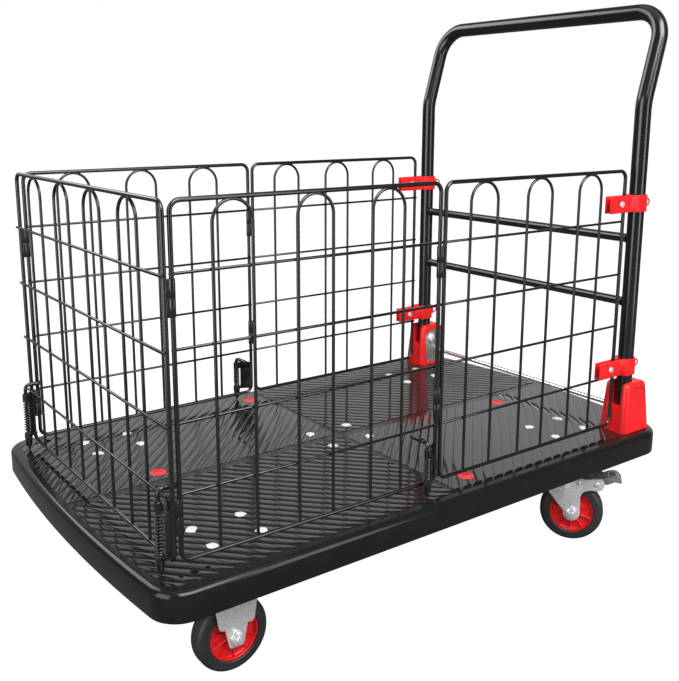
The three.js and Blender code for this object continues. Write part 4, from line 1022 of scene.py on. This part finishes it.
def pedal_piece():
    """Brake pedal: a bent tread with two pressed loops, on its barrel, with a brake nose."""
    line = [(-0.008, 0.007), (0.004, 0.0078), (0.010, 0.0092), (0.018, 0.014),
            (0.026, 0.0164), (0.032, 0.016), (0.037, 0.0125), (0.041, 0.007)]
    under = [(x - 0.0004, z - 0.0024) for x, z in reversed(line)]
    nose = [(-0.006, 0), (-0.005, -0.014), (0.001, -0.014), (0.006, 0)]
    wall = line + [(0.0405, 0.0035), (0.030, 0.0050), (0.018, -0.001), (-0.008, -0.004)]
    half, sheet = 0.015, 0.0014

    def across(outline, low, high, *edge):
        """A plate across the pedal, its outline measured from the rivet."""
        points = [(RIVETS[1] + x, RIVET_Z + z) for x, z in outline]
        return bevelled(plate(points, "Y", low, high), *edge)

    parts = [
        across(line + under, -half, half, 0.0007, 2, 25),
        across(nose, -half, half, 0.0006, 2),
        across(wall, -half, -half + sheet, 0.0004, 2, 25),
        across(wall, half - sheet, half, 0.0004, 2, 25),
    ]
    hub = turned(both_ends([(0.0029, -half), (0.0055, -half)]), "Y", 28)
    parts.append(placed(hub, (RIVETS[1], 0, RIVET_Z)))
    parts.append(block(RIVETS[1] - 0.005, RIVETS[1] + 0.005, -half, half,
                       RIVET_Z + 0.0028, RIVET_Z + 0.0068))
    for middle in (-0.0062, 0.0062):
        ends = [(-0.005, 0.0072), (0.0200, 0.0150)]
        line = [(x, middle - 0.0033, z) for x, z in ends]
        line += [(x, middle + 0.0033, z) for x, z in reversed(ends)]
        parts.append(rod(
            [(RIVETS[1] + x, y, RIVET_Z + z) for x, y, z in line], 0.0008, 0.003, 8, 4))
    return joined(parts)


class CART_OT_castors(bpy.types.Operator):
    """Model the four castors with their wheels, forks, bolts and brake pedals"""
    bl_idname = "cart.castors"
    bl_label = "Castors"

    def execute(self, context):
        values = context.scene.cart_wheel
        tyre, core, axle = tyre_piece(values), core_piece(values), axle_piece()
        fixed, top, fork, pedal = rigid_fork(), swivel_plate(), swivel_fork(), pedal_piece()
        wheel_parts = (
            (tyre, "tyre_ring", "tyre", "rubber", tyre_rubber()),
            (core, "wheel", "wheel_core", "red_plastic", red_plastic()),
            (axle, "axle_bolt", "axle", "zinc", bright_steel()),
        )
        for side in SIDES:
            swivel = f"swivel_{side}"
            for end, turn, holder in (("front", 0, "frame"), ("rear", SWIVEL, swivel)):
                tag = f"{end}_{side}"
                middle = CASTORS[f"{end}_wheel_spin_{side}"]
                for part, label, node, slot, material in wheel_parts:
                    body = holder if part == axle else f"{end}_wheel_{side}"
                    put(part, f"{label}_{tag}", body, slot, material, middle, turn,
                        f"{node}_{tag}")
                if end == "front":
                    put(fixed, f"fixed_fork_{side}", "frame", "zinc", zinc(),
                        (middle.x, middle.y, 0), 0, f"rigid_fork_{tag}")
            kingpin = CASTORS[f"swivel_turn_{side}"]
            ground = (kingpin.x, kingpin.y, 0)
            put(top, f"swivel_top_{side}", "frame", "zinc", zinc(), ground, 0,
                f"swivel_plate_rear_{side}")
            put(fork, f"swivel_fork_{side}", swivel, "zinc", zinc(), ground, SWIVEL,
                f"swivel_fork_rear_{side}")
            put(pedal, f"pedal_{side}", f"brake_pedal_{side}", "grey_steel", grey_steel(),
                ground, SWIVEL, f"brake_pedal_rear_{side}")
        for pattern in (tyre, core, axle, fixed, top, fork, pedal):
            bpy.data.objects.remove(pattern)
        return {"FINISHED"}


# ---- cage -----------------------------------------------------------------------
ARCH_WIDTH = 0.054
ARCH_DROP = 0.0025  # from the upper rail down to an arch's top
CROSS_OFFSET = 0.0044  # from the frame wire's plane to the cross wires'
CROSS_HEIGHTS = [RAIL_LOW + 0.0825 + 0.0888 * number for number in range(4)]
REAR_ARCHES = (0.0597, 0.0486)  # first and last arch from the panel's edge wires
SIDE_ARCHES = (0.0647, 0.0529)
FRONT_ARCHES = (0.0525, 0.0685)
CLIP_LENGTH = 0.044
MIDDLE_CLIPS = (0.094, 0.3005)  # lower ends above the lower rail
FRONT_CLIPS = (0.036, 0.3005)


def panel_piece(start, way, length, arches, gaps, cross_way, cross_end, values):
    """One cage panel: a bent frame wire, standing arches and cross wires welded on."""
    start, way = Vector(start), Vector(way)

    def at(run, height, off=0.0):
        """A place on the panel, or off its plane."""
        return start + way * run + Vector((0, 0, height)) + Vector(cross_way) * off

    middle = (RAIL_LOW + RAIL_HIGH) / 2
    parts = [rod([
        at(0, middle), at(0, RAIL_LOW), at(length, RAIL_LOW), at(length, RAIL_HIGH),
        at(0, RAIL_HIGH), at(0, middle)], values.frame_wire, 0.013, 16, 8, closed=True)]
    span = length - sum(gaps) - ARCH_WIDTH
    top = RAIL_HIGH - ARCH_DROP
    for number in range(arches):
        x = gaps[0] + span * number / (arches - 1)
        parts.append(rod([
            at(x, RAIL_LOW), at(x, top), at(x + ARCH_WIDTH, top),
            at(x + ARCH_WIDTH, RAIL_LOW)], values.arch_wire,
            ARCH_WIDTH / 2 - 0.00001, 12, 10))
    for height in CROSS_HEIGHTS:
        parts.append(bevelled(rod([
            at(-cross_end, height, CROSS_OFFSET), at(length + cross_end, height, CROSS_OFFSET)],
            values.cross_wire, 0, 12), 0.0006, 2, 60))
    return parts


def clip_piece(own, partner, height, values):
    """A sheet clip between two neighbouring wires, in two halves, hooked round one."""
    own, partner = Vector(own), Vector(partner)
    reach = (partner - own).length
    turn = math.atan2(partner.y - own.y, partner.x - own.x)
    wire = values.frame_wire
    hook, web = wire + 0.0010, 0.0032
    open_angle = 180 - math.degrees(math.asin(0.0012 / hook))
    outline = [(0, -0.0012)] + arc((reach, 0), hook, -open_angle, open_angle, 20)
    outline += [(0, 0.0012)]
    low, high = RAIL_LOW + height, RAIL_LOW + height + CLIP_LENGTH
    middle = (low + high) / 2
    parts = []
    for bottom, top in ((low, middle - 0.0004), (middle + 0.0004, high)):
        loop = plate(outline, "Z", bottom, top)
        strip = plate(
            rounded_box(0.0018, reach - 0.0018, -web, web, 0.0012, 3), "Z", bottom, top)
        loop = modified(
            loop, "BOOLEAN", operation="UNION", object=strip, solver="EXACT")
        bpy.data.objects.remove(strip)
        bore = pin("Z", wire + 0.0003, bottom - MM, top + MM, (reach, 0), 24)
        parts.append(bevelled(cut(loop, bore), 0.0003, 2, 50))
    return placed(joined(parts), own, turn)


LATCHES = {  # lengths of a latch's parts and of its pin's lift
    "front": {
        "spring": 0.053, "sleeve": 0.012, "grip": 0.109, "reach": 0.025, "lift": 0.015},
    "middle": {
        "spring": 0.032, "sleeve": 0.012, "grip": 0.081, "reach": 0.036, "lift": 0.010},
}
EAR_TOP = DECK_TOP + 0.026  # top of the ear under a latch's spring
SPRING_LOW = EAR_TOP + 0.0033


def latch_axis(label, side):
    """Centre of a latch's pin, from its CAD spring."""
    low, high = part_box(f"latch_spring_{label}_{side}")
    return Vector(((low.x + high.x) / 2, (low.y + high.y) / 2, 0))


def latch_guide(root, axis, label):
    """Web, lower ear and sleeve that hold a latch pin beside its edge wire."""
    sizes = LATCHES[label]
    root = Vector((root[0], root[1], 0))
    reach = (axis - root).length
    turn = math.atan2(axis.y - root.y, axis.x - root.x)
    spring_high = SPRING_LOW + sizes["spring"]
    sleeve_top = spring_high + sizes["sleeve"]
    web = block(0.001, reach - 0.0071, -0.00125, 0.00125, EAR_TOP - 0.003, sleeve_top)
    tie = block(0.001, reach - 0.004, -0.00125, 0.00125, spring_high + CLEAR, sleeve_top)
    ear = plate(
        [(0.001, -0.0062)] + arc((reach, 0), 0.0064, -90, 90, 10) + [(0.001, 0.0062)],
        "Z", EAR_TOP - 0.003, EAR_TOP)
    ear = cut(ear, pin("Z", 0.0034, EAR_TOP - 0.01, EAR_TOP + 0.01, (reach, 0), 24))
    sleeve = turned([
        (0.0034, spring_high + CLEAR), (0.0054, spring_high + CLEAR),
        (0.0054, sleeve_top - 0.0004), (0.0050, sleeve_top), (0.0034, sleeve_top)], "Z", 28)
    nose = turned([
        (0.0034, EAR_TOP - 0.003), (0.0062, EAR_TOP - 0.003), (0.0064, EAR_TOP - 0.004),
        (0.0046, EAR_TOP - 0.0195), (0.0042, EAR_TOP - 0.020), (0.0034, EAR_TOP - 0.020)],
        "Z", 28)
    parts = [bevelled(part, 0.0004, 2) for part in (web, tie, ear)]
    parts += [placed(part, (reach, 0, 0)) for part in (sleeve, nose)]
    return placed(joined(parts), root, turn)


def plunger_piece(label, grip_way):
    """The sprung pin: a pointed tip, a collar and a bent grip."""
    sizes = LATCHES[label]
    tip = DECK_TOP + 0.0005
    grip_z = DECK_TOP + sizes["grip"]
    length = sizes["reach"]
    stem = rod([(0, 0, tip + 0.010), (0, 0, grip_z), (length, 0, grip_z)], 0.003, 0.007, 16, 8)
    grip = turned([
        (0, 0.009), (0.0032, 0.009), (0.0036, 0.0096), (0.0036, length),
        (0.0030, length + 0.0009), (0, length + 0.001)], "X", 20, closed=False)
    placed(grip, (0, 0, grip_z))
    point = turned([
        (0, tip), (0.0012, tip), (0.0016, tip + 0.0005), (0.0030, tip + 0.0101),
        (0, tip + 0.0101)], "Z", 24, closed=False)
    collar = turned([
        (0, EAR_TOP + 0.00015), (0.0052, EAR_TOP + 0.00015), (0.0056, EAR_TOP + 0.0006),
        (0.0056, EAR_TOP + 0.0024), (0.0052, EAR_TOP + 0.0029), (0, EAR_TOP + 0.0029)],
        "Z", 28, closed=False)
    return placed(joined([stem, grip, point, collar]), (0, 0, 0), grip_way)


class CART_OT_cage(bpy.types.Operator):
    """Model the five wire panels with their hinge clips"""
    bl_idname = "cart.cage"
    bl_label = "Wire cage"

    def execute(self, context):
        values = context.scene.cart_cage
        rear_length = CAGE_MIDDLE - HINGE_PITCH - CAGE_REAR
        for side, sign in SIDES.items():
            y = sign * CAGE_Y
            inward = (0, -sign, 0)
            rear, along = f"rear_panel_{side}", f"side_panel_{side}"
            parts = panel_piece(
                (CAGE_REAR, y, 0), (1, 0, 0), rear_length, 3, REAR_ARCHES, inward, MM, values)
            own = (CAGE_MIDDLE - HINGE_PITCH, y, 0)
            parts += [clip_piece(own, (CAGE_MIDDLE, y, 0), height, values)
                      for height in MIDDLE_CLIPS]
            coated(joined(parts), f"panel_rear_{side}", rear, rear)
            parts = panel_piece(
                (CAGE_MIDDLE, y, 0), (1, 0, 0), CAGE_FRONT - CAGE_MIDDLE, 3, SIDE_ARCHES,
                inward, MM, values)
            parts.append(latch_guide((CAGE_MIDDLE, y), latch_axis("middle", side), "middle"))
            coated(joined(parts), f"panel_side_{side}", along, along)
        parts = panel_piece(
            (FRONT_PLANE, -CAGE_Y, 0), (0, 1, 0), 2 * CAGE_Y, 4, FRONT_ARCHES, (1, 0, 0),
            0.003, values)
        for side, sign in SIDES.items():
            y = sign * CAGE_Y
            parts += [clip_piece((FRONT_PLANE, y, 0), (CAGE_FRONT, y, 0), height, values)
                      for height in FRONT_CLIPS]
            parts.append(latch_guide((FRONT_PLANE, y), latch_axis("front", side), "front"))
        coated(joined(parts), "panel_front", "front_panel", "front_panel")
        return {"FINISHED"}


class CART_OT_latches(bpy.types.Operator):
    """Model the four sprung latch pins and their coil springs"""
    bl_idname = "cart.latches"
    bl_label = "Latches"

    def execute(self, context):
        coils = context.scene.cart_cage.coils
        for label, sizes in LATCHES.items():
            spring_high = SPRING_LOW + sizes["spring"]
            for side, sign in SIDES.items():
                axis = latch_axis(label, side)
                way = math.pi if label == "front" else -sign * math.pi / 2
                coated(
                    placed(plunger_piece(label, way), axis), f"latch_pin_{label}_{side}",
                    f"{label}_plunger_{side}", f"latch_plunger_{label}_{side}")
                spring = coil(
                    0.0048, 0.0009, SPRING_LOW - CLEAR, spring_high, coils, axis)
                holder = "front_panel" if label == "front" else f"side_panel_{side}"
                coated(
                    spring, f"spring_{label}_{side}", holder, f"latch_spring_{label}_{side}",
                    smooth=60)
                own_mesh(spring)
        return {"FINISHED"}


# ---- handle ----------------------------------------------------------------------
TUBE_FOOT = 0.214
BEND_Z = 0.758  # above it the handle leans back
GRIP_Z = 0.9049
GRIP_X = TUBE_X - (0.905 - BEND_Z) * math.tan(math.radians(16))
RUNGS = {"rung_upper": 0.535, "rung_lower": 0.426}  # heights of their middles
CLAMPS = {"upper": 0.5955, "lower": 0.316}


class CART_OT_handle(bpy.types.Operator):
    """Model the bent push handle and its two rungs"""
    bl_idname = "cart.handle"
    bl_label = "Push handle"

    def execute(self, context):
        values = context.scene.cart_handle
        half = [(TUBE_X, TUBE_FOOT), (TUBE_X, BEND_Z), (GRIP_X, GRIP_Z)]
        line = [(x, -CAGE_Y, z) for x, z in half]
        line += [(x, CAGE_Y, z) for x, z in reversed(half)]
        tube = rod(line, values.tube, [0.090, 0.050, 0.050, 0.090], 40, 14)
        coated(tube, "handle_bar", "frame", "handle_tube")
        end = CAGE_Y - values.tube
        for name, z in RUNGS.items():
            bar = turned(both_ends([
                (0, -end - 0.001), (values.rung + 0.0016, -end - 0.001),
                (values.rung + 0.0012, -end + 0.0012), (values.rung + 0.0003, -end + 0.0026),
                (values.rung, -end + 0.004)]), "Y", 32, closed=False)
            coated(placed(bar, (TUBE_X, 0, z)), f"{name}_bar", "frame", name)
        return {"FINISHED"}


def clamp_piece(values):
    """A strap round the tube with two tails, the boss of its pull pin and its screw."""
    hug, thick = values.tube + CLEAR, 0.003
    slot = 0.0033
    tail = slot + thick
    outer = hug + thick
    reach = 0.0760
    low, high = -0.014, 0.014
    gap = math.degrees(math.asin(slot / hug))
    shoulder = arc((0.0236, tail + 0.0016), 0.0016, 270, 190, 4)
    shoulder += arc((0.0168, outer - 0.0040), 0.0040, 10, 90, 6)
    outline = [(reach - 0.0015, tail)] + shoulder + arc((0, 0), outer, 84, 276, 34)
    outline += [(x, -y) for x, y in reversed(shoulder)]
    outline += [(reach - 0.0015, -tail), (reach, -tail + 0.0015), (reach, -slot)]
    outline += arc((0, 0), hug, -gap, gap - 360, 40)
    outline += [(reach, slot), (reach, tail - 0.0015)]
    strap = bevelled(plate(outline, "Z", low, high), 0.0008, 3, 50)
    boss = plate(rounded_box(-0.005, 0.005, -0.008, 0.008, 0.003, 5), "X",
                 -outer - 0.006, -outer + 0.001)
    boss = cut(boss, pin("X", 0.0026, -outer - 0.01, -outer + 0.01, (0, 0), 20))
    return joined([strap, bevelled(boss, 0.0006, 2, 50)])


def clamp_screw():
    """Cross-head screw through the clamp's tails, with a domed head at each end."""
    head = turned([
        (0, -0.0004), (0.0052, -0.0004), (0.0052, 0.0004), (0.0046, 0.0014),
        (0.0030, 0.0020), (0, 0.0021)], "Y", 32, closed=False)
    cross = [block(-0.0026, 0.0026, 0.0009, 0.003, -0.0005, 0.0005),
             block(-0.0005, 0.0005, 0.0009, 0.003, -0.0026, 0.0026)]
    head = cut(cut(head, cross[0]), cross[1])
    placed(head, (0, 0.0063, 0))
    other = mirrored_y(head)
    shank = pin("Y", 0.0025, -0.0064, 0.0064, (0, 0), 20)
    return placed(joined([head, other, shank]), (0.047, 0, 0))


def pull_pin_piece():
    """Pull pin with its ring standing behind the clamp."""
    boss_end = -0.013 - CLEAR - 0.003 - 0.006
    stem = pin("X", 0.0022, boss_end - 0.002, -0.0133, (0, 0), 20)
    fresh()
    bpy.ops.mesh.primitive_torus_add(
        major_segments=36, minor_segments=10, major_radius=0.0055, minor_radius=0.0012,
        location=(boss_end - 0.0065, 0, 0), rotation=(math.pi / 2, 0, 0))
    ring = settled()
    return joined([bevelled(stem, 0.0005, 2), ring])


class CART_OT_clamps(bpy.types.Operator):
    """Model the four clamps with their screws and pull pins"""
    bl_idname = "cart.clamps"
    bl_label = "Clamps"

    def execute(self, context):
        clamp = clamp_piece(context.scene.cart_handle)
        screw, pull = clamp_screw(), pull_pin_piece()
        for level, z in CLAMPS.items():
            for side, sign in SIDES.items():
                place = (TUBE_X, sign * CAGE_Y, z)
                tag = f"{level}_{side}"
                put(clamp, f"strap_{tag}", "frame", "red_plastic", red_plastic(), place, 0,
                    f"clamp_{tag}")
                put(screw, f"screw_{tag}", "frame", "chrome", bright_steel(), place, 0)
                put(pull, f"ring_pin_{tag}", f"pull_pin_{tag}", "zinc", red_lacquer(),
                    place, 0, f"pull_pin_{tag}")
        for pattern in (clamp, screw, pull):
            bpy.data.objects.remove(pattern)
        return {"FINISHED"}


# ---- handle brackets ----------------------------------------------------------------
FOOT_X = (TUBE_X - 0.043, TUBE_X + 0.029)
HEAD_SCALE = (0.75, 0.804, 1)  # the bracket's top as a share of its foot
BRACKET_TOP = DECK_TOP + 0.086
RELEASE = (TUBE_X - 0.026, DECK_TOP + 0.027)
RELEASE_TRAVEL = 0.008
PIVOT = (TUBE_X, DECK_TOP + 0.060)


def release_slot(low, high):
    """Tools for the slot that the release bar moves in, no two ending in one plane."""
    (x, z), bore, step = RELEASE, 0.0044, 0.1 * MM
    return [
        pin("Y", bore, low, high, RELEASE, 24),
        pin("Y", bore, low - step, high - step, (x, z - RELEASE_TRAVEL), 24),
        block(x - bore, x + bore, low - 2 * step, high - 2 * step, z - RELEASE_TRAVEL, z),
    ]


def bracket_piece():
    """Left bracket: a tapered block with framed faces, a bore and a front slot."""
    foot = DECK_TOP + CLEAR
    outline = rounded_box(*FOOT_X, -0.028, 0.028, 0.0105, 6)
    obj = plate(outline, "Z", foot, BRACKET_TOP)
    edit(obj)
    pick(obj, "faces", lambda f: f.normal.z > 0.99)
    middle = ((FOOT_X[0] + FOOT_X[1]) / 2, 0, BRACKET_TOP)
    bpy.ops.transform.resize(value=HEAD_SCALE, center_override=middle)
    bpy.ops.transform.translate(value=(0.001, 0, 0))
    bpy.ops.mesh.bevel(offset=0.0070, offset_type="OFFSET", segments=6)
    outward()
    hug = 0.0134
    tools = [
        pin("Z", hug, 0.212, BRACKET_TOP + 0.01, (TUBE_X, 0), 40),
        block(TUBE_X, FOOT_X[1] + MM, -hug, hug, 0.247, BRACKET_TOP + 0.011),
        block(TUBE_X - 0.037, TUBE_X + 0.015, -0.031, -0.0210, 0.206, 0.277),
        *release_slot(-0.029, -0.0138),
    ]
    slope = (1 - HEAD_SCALE[1]) * 0.028 / (BRACKET_TOP - foot)
    low, high = foot + 0.005, BRACKET_TOP - 0.0085
    recess = softened(
        [(FOOT_X[0] + 0.0060, low), (FOOT_X[1] - 0.0092, low),
         (FOOT_X[1] - 0.0165, high), (FOOT_X[0] + 0.0152, high)],
        [0.004, 0.004, 0.013, 0.013])
    panel = plate(recess, "Y", 0.0260, 0.0320)
    lean = Matrix.Identity(4)
    lean[1][2] = -slope
    panel.data.transform(
        Matrix.Translation((0, 0, foot)) @ lean @ Matrix.Translation((0, 0, -foot)))
    for tool in [*tools, panel]:
        cut(obj, tool)
    return bevelled(obj, 0.0009, 3, 50)


def side_plate_piece():
    """Steel plate let into the bracket's inner face, with its two openings."""
    x0, x1, low, high, corner = TUBE_X - 0.0367, TUBE_X + 0.0147, 0.2063, 0.2767, 0.012
    outline = [(x0, low), (x1, low), (x1, high - corner), (x1 - corner, high),
               (x0 + corner, high), (x0, high - corner)]
    obj = plate(outline, "Y", -0.0238, -0.0213)
    tools = [
        pin("Y", 0.0043, -0.03, -0.02, PIVOT, 24),
        *release_slot(-0.031, -0.019),
        pin("Y", 0.0016, -0.03, -0.02, (TUBE_X + 0.008, 0.214), 20),
    ]
    for tool in tools:
        cut(obj, tool)
    return bevelled(obj, 0.0004, 2, 50)


def pivot_piece():
    """Pivot pin with a broad domed head on the inner side."""
    head = turned([
        (0, -0.0272), (0.0030, -0.0271), (0.0074, -0.0264), (0.0086, -0.0254),
        (0.0088, -0.0241), (0.0040, -0.0241), (0.0040, 0.0188), (0.0036, 0.0194),
        (0, 0.0194)], "Y", 40, closed=False)
    return placed(head, (PIVOT[0], 0, PIVOT[1]))


class CART_OT_brackets(bpy.types.Operator):
    """Model the handle brackets, their steel plates, pivot pins and the release bar"""
    bl_idname = "cart.brackets"
    bl_label = "Handle brackets"

    def execute(self, context):
        makers = (
            (bracket_piece, "foot", "bracket", "red_plastic", red_plastic),
            (side_plate_piece, "foot_plate", "bracket_plate", "grey_steel", grey_steel),
            (pivot_piece, "pivot", "pivot_pin", "chrome", bright_zinc),
        )
        for maker, label, node, slot, material in makers:
            left = maker()
            right = mirrored_y(left)
            for piece, (side, sign) in zip((left, right), SIDES.items()):
                placed(piece, (0, sign * CAGE_Y, 0))
                finished(
                    piece, f"{label}_{side}", "frame", material(), (f"{node}_{side}",))
        low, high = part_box("release_bar")
        bar = turned([
            (0, low.y), (0.0034, low.y), (0.0040, low.y + 0.0006), (0.0040, high.y - 0.0006),
            (0.0034, high.y), (0, high.y)], "Y", 28, closed=False)
        placed(bar, (RELEASE[0], 0, RELEASE[1]))
        finished(bar, "release_rod", "release_bar", chrome(), ("release_bar",))
        return {"FINISHED"}


# ---- stage ---------------------------------------------------------------------------
CAMERA_PLACE = (0.866, 1.149, 0.746)
CAMERA_AZIMUTH = math.radians(144.13)
CAMERA_HEIGHT = math.radians(11.82)
CAMERA_LENS = 46.754
CAMERA_SHIFT = (0.01557, -0.06658)
FLOOR_GLOW = 0.03  # the floor's own light for everything but the camera
WHITE = (1, 1, 1, 1)
SOFTBOXES = {  # place, size, what the light is turned to, watts
    "key_light": ((0.2, 2.55, 3.25), (2.8, 2.5), (0, 0, 0.35), 245),
    "left_light": ((1.95, 0.45, 0.86), (1.3, 1.7), (0, 0, 0.86), 29),
    "right_light": ((-0.75, 2.1, 0.86), (0.6, 1.7), (0, 0, 0.86), 14),
    "rim_light": ((1.15, -2.2, 2.4), (1.8, 1.8), (-0.4, 0, 0.8), 45),
    "top_light": ((0, 0, 3.4), (2.6, 2.6), (0, 0, 0.35), 12),
}


def spread_node(nodes, link, value, low, high, start, end):
    """Maps a value smoothly from one range to another and returns the result."""
    ramp = nodes.new("ShaderNodeMapRange")
    ramp.interpolation_type = "SMOOTHSTEP"
    preset(ramp, From_Min=low, From_Max=high, To_Min=start, To_Max=end)
    link(value, ramp.inputs["Value"])
    return ramp.outputs["Result"]


def product_node(nodes, link, first, second):
    """Multiplies two values and returns the result."""
    product = nodes.new("ShaderNodeMath")
    product.operation = "MULTIPLY"
    link(first, product.inputs[0])
    link(second, product.inputs[1])
    return product.outputs[0]


def studio_floor():
    """A floor that is white to the camera and dark to light and reflections."""
    bpy.ops.mesh.primitive_plane_add(size=60, location=(0, 0, -0.0002))
    floor = bpy.context.object
    floor.name = "studio_floor"
    material = bpy.data.materials.new("Pale studio floor")
    material.use_nodes = True
    nodes, link = material.node_tree.nodes, material.node_tree.links.new
    shader = preset(
        nodes["Principled BSDF"], Base_Color=(0.08, 0.08, 0.08, 1), Roughness=0.9,
        Emission_Color=WHITE)
    ray, glow = nodes.new("ShaderNodeLightPath"), nodes.new("ShaderNodeMath")
    glow.operation = "MULTIPLY_ADD"
    glow.inputs[1].default_value = 1 - FLOOR_GLOW
    glow.inputs[2].default_value = FLOOR_GLOW
    link(ray.outputs["Is Camera Ray"], glow.inputs[0])
    link(glow.outputs[0], shader.inputs["Emission Strength"])
    floor.data.materials.append(material)


def studio_world(values):
    """A surround that is white to the camera, with one bright wall for reflections."""
    world = bpy.data.worlds.new("Studio")
    world.use_nodes = True
    nodes, link = world.node_tree.nodes, world.node_tree.links.new
    nodes.clear()
    output = nodes.new("ShaderNodeOutputWorld")
    seen, around = nodes.new("ShaderNodeBackground"), nodes.new("ShaderNodeBackground")
    preset(seen, Color=WHITE)
    preset(around, Color=WHITE)
    direction = nodes.new("ShaderNodeTexCoord").outputs["Generated"]
    facing = nodes.new("ShaderNodeVectorMath")
    facing.operation = "DOT_PRODUCT"
    facing.inputs[1].default_value = (
        -math.sin(CAMERA_AZIMUTH), math.cos(CAMERA_AZIMUTH), 0)
    link(direction, facing.inputs[0])
    far = spread_node(nodes, link, facing.outputs["Value"], 0.1, 0.85, 0, 1)
    height = nodes.new("ShaderNodeSeparateXYZ")
    link(direction, height.inputs[0])
    low = spread_node(nodes, link, height.outputs["Z"], -0.05, 0.05, 0, 1)
    high = spread_node(nodes, link, height.outputs["Z"], 0.36, 0.70, 1, 0)
    band = product_node(nodes, link, low, high)
    wall = product_node(nodes, link, far, band)
    level = spread_node(nodes, link, wall, 0, 1, values.sky, values.backdrop)
    link(level, around.inputs["Strength"])
    path, mix = nodes.new("ShaderNodeLightPath"), nodes.new("ShaderNodeMixShader")
    link(path.outputs["Is Camera Ray"], mix.inputs["Fac"])
    link(around.outputs["Background"], mix.inputs[1])
    link(seen.outputs["Background"], mix.inputs[2])
    link(mix.outputs["Shader"], output.inputs["Surface"])
    return world


def softbox(name, place, size, aim, power):
    """A rectangular light that the camera doesn't see, turned to a place."""
    bpy.ops.object.light_add(type="AREA", location=place)
    lamp = bpy.context.object
    lamp.name = name
    lamp.data.shape = "RECTANGLE"
    lamp.data.size, lamp.data.size_y = size
    lamp.data.energy = power
    lamp.visible_camera = False
    way = Vector(aim) - Vector(place)
    lamp.rotation_euler = way.to_track_quat("-Z", "Y").to_euler()


def product_camera():
    """The camera, looking at the cart's front left corner from above it."""
    back = Vector((
        math.sin(CAMERA_AZIMUTH) * math.cos(CAMERA_HEIGHT),
        -math.cos(CAMERA_AZIMUTH) * math.cos(CAMERA_HEIGHT), math.sin(CAMERA_HEIGHT)))
    bpy.ops.object.camera_add(
        location=CAMERA_PLACE, rotation=(-back).to_track_quat("-Z", "Y").to_euler())
    camera = bpy.context.object
    camera.name = "product_camera"
    camera.data.sensor_width = 36
    camera.data.lens = CAMERA_LENS
    camera.data.shift_x, camera.data.shift_y = CAMERA_SHIFT
    return camera


class CART_OT_stage(bpy.types.Operator):
    """Set the floor, the studio light and the camera"""
    bl_idname = "cart.stage"
    bl_label = "Stage"

    def execute(self, context):
        scene = context.scene
        fresh()
        studio_floor()
        scene.world = studio_world(scene.cart_stage)
        for name, values in SOFTBOXES.items():
            softbox(name, *values)
        scene.camera = product_camera()
        scene.view_settings.view_transform = "Standard"
        return {"FINISHED"}


class CART_PT_panel(bpy.types.Panel):
    """Lists the cart's pieces in the sidebar"""
    bl_label = "Garden Cart"
    bl_idname = "CART_PT_panel"
    bl_space_type = "VIEW_3D"
    bl_region_type = "UI"
    bl_category = "Garden Cart"

    def draw(self, context):
        layout = self.layout
        for operator in OPERATORS:
            layout.operator(operator.bl_idname)
        for group in GROUPS:
            values = getattr(context.scene, group)
            for name in values.__annotations__:
                layout.prop(values, name)


OPERATORS = (
    CART_OT_platform, CART_OT_deck_fittings, CART_OT_castors, CART_OT_cage,
    CART_OT_latches, CART_OT_handle, CART_OT_clamps, CART_OT_brackets, CART_OT_stage)
GROUPS = {
    "cart_deck": CartDeckSettings, "cart_wheel": CartWheelSettings,
    "cart_cage": CartCageSettings, "cart_handle": CartHandleSettings,
    "cart_stage": CartStageSettings}


def register():
    """Registers the settings, the operators and the panel."""
    for group in GROUPS.values():
        bpy.utils.register_class(group)
    for name, group in GROUPS.items():
        setattr(bpy.types.Scene, name, PointerProperty(type=group))
    for item in (*OPERATORS, CART_PT_panel):
        bpy.utils.register_class(item)


def unregister():
    """Takes away what register() added."""
    for item in (CART_PT_panel, *reversed(OPERATORS)):
        bpy.utils.unregister_class(item)
    for name, group in GROUPS.items():
        delattr(bpy.types.Scene, name)
        bpy.utils.unregister_class(group)


def corners(bounds):
    """Two corners of a box as plain rounded numbers."""
    return [[round(float(value), 6) for value in corner] for corner in bounds]


def main():
    """Builds the whole cart."""
    register()
    for operator in OPERATORS:
        step = operator.bl_idname.split(".")[1]
        getattr(bpy.ops.cart, step)()


if __name__ == "__main__":
    main()
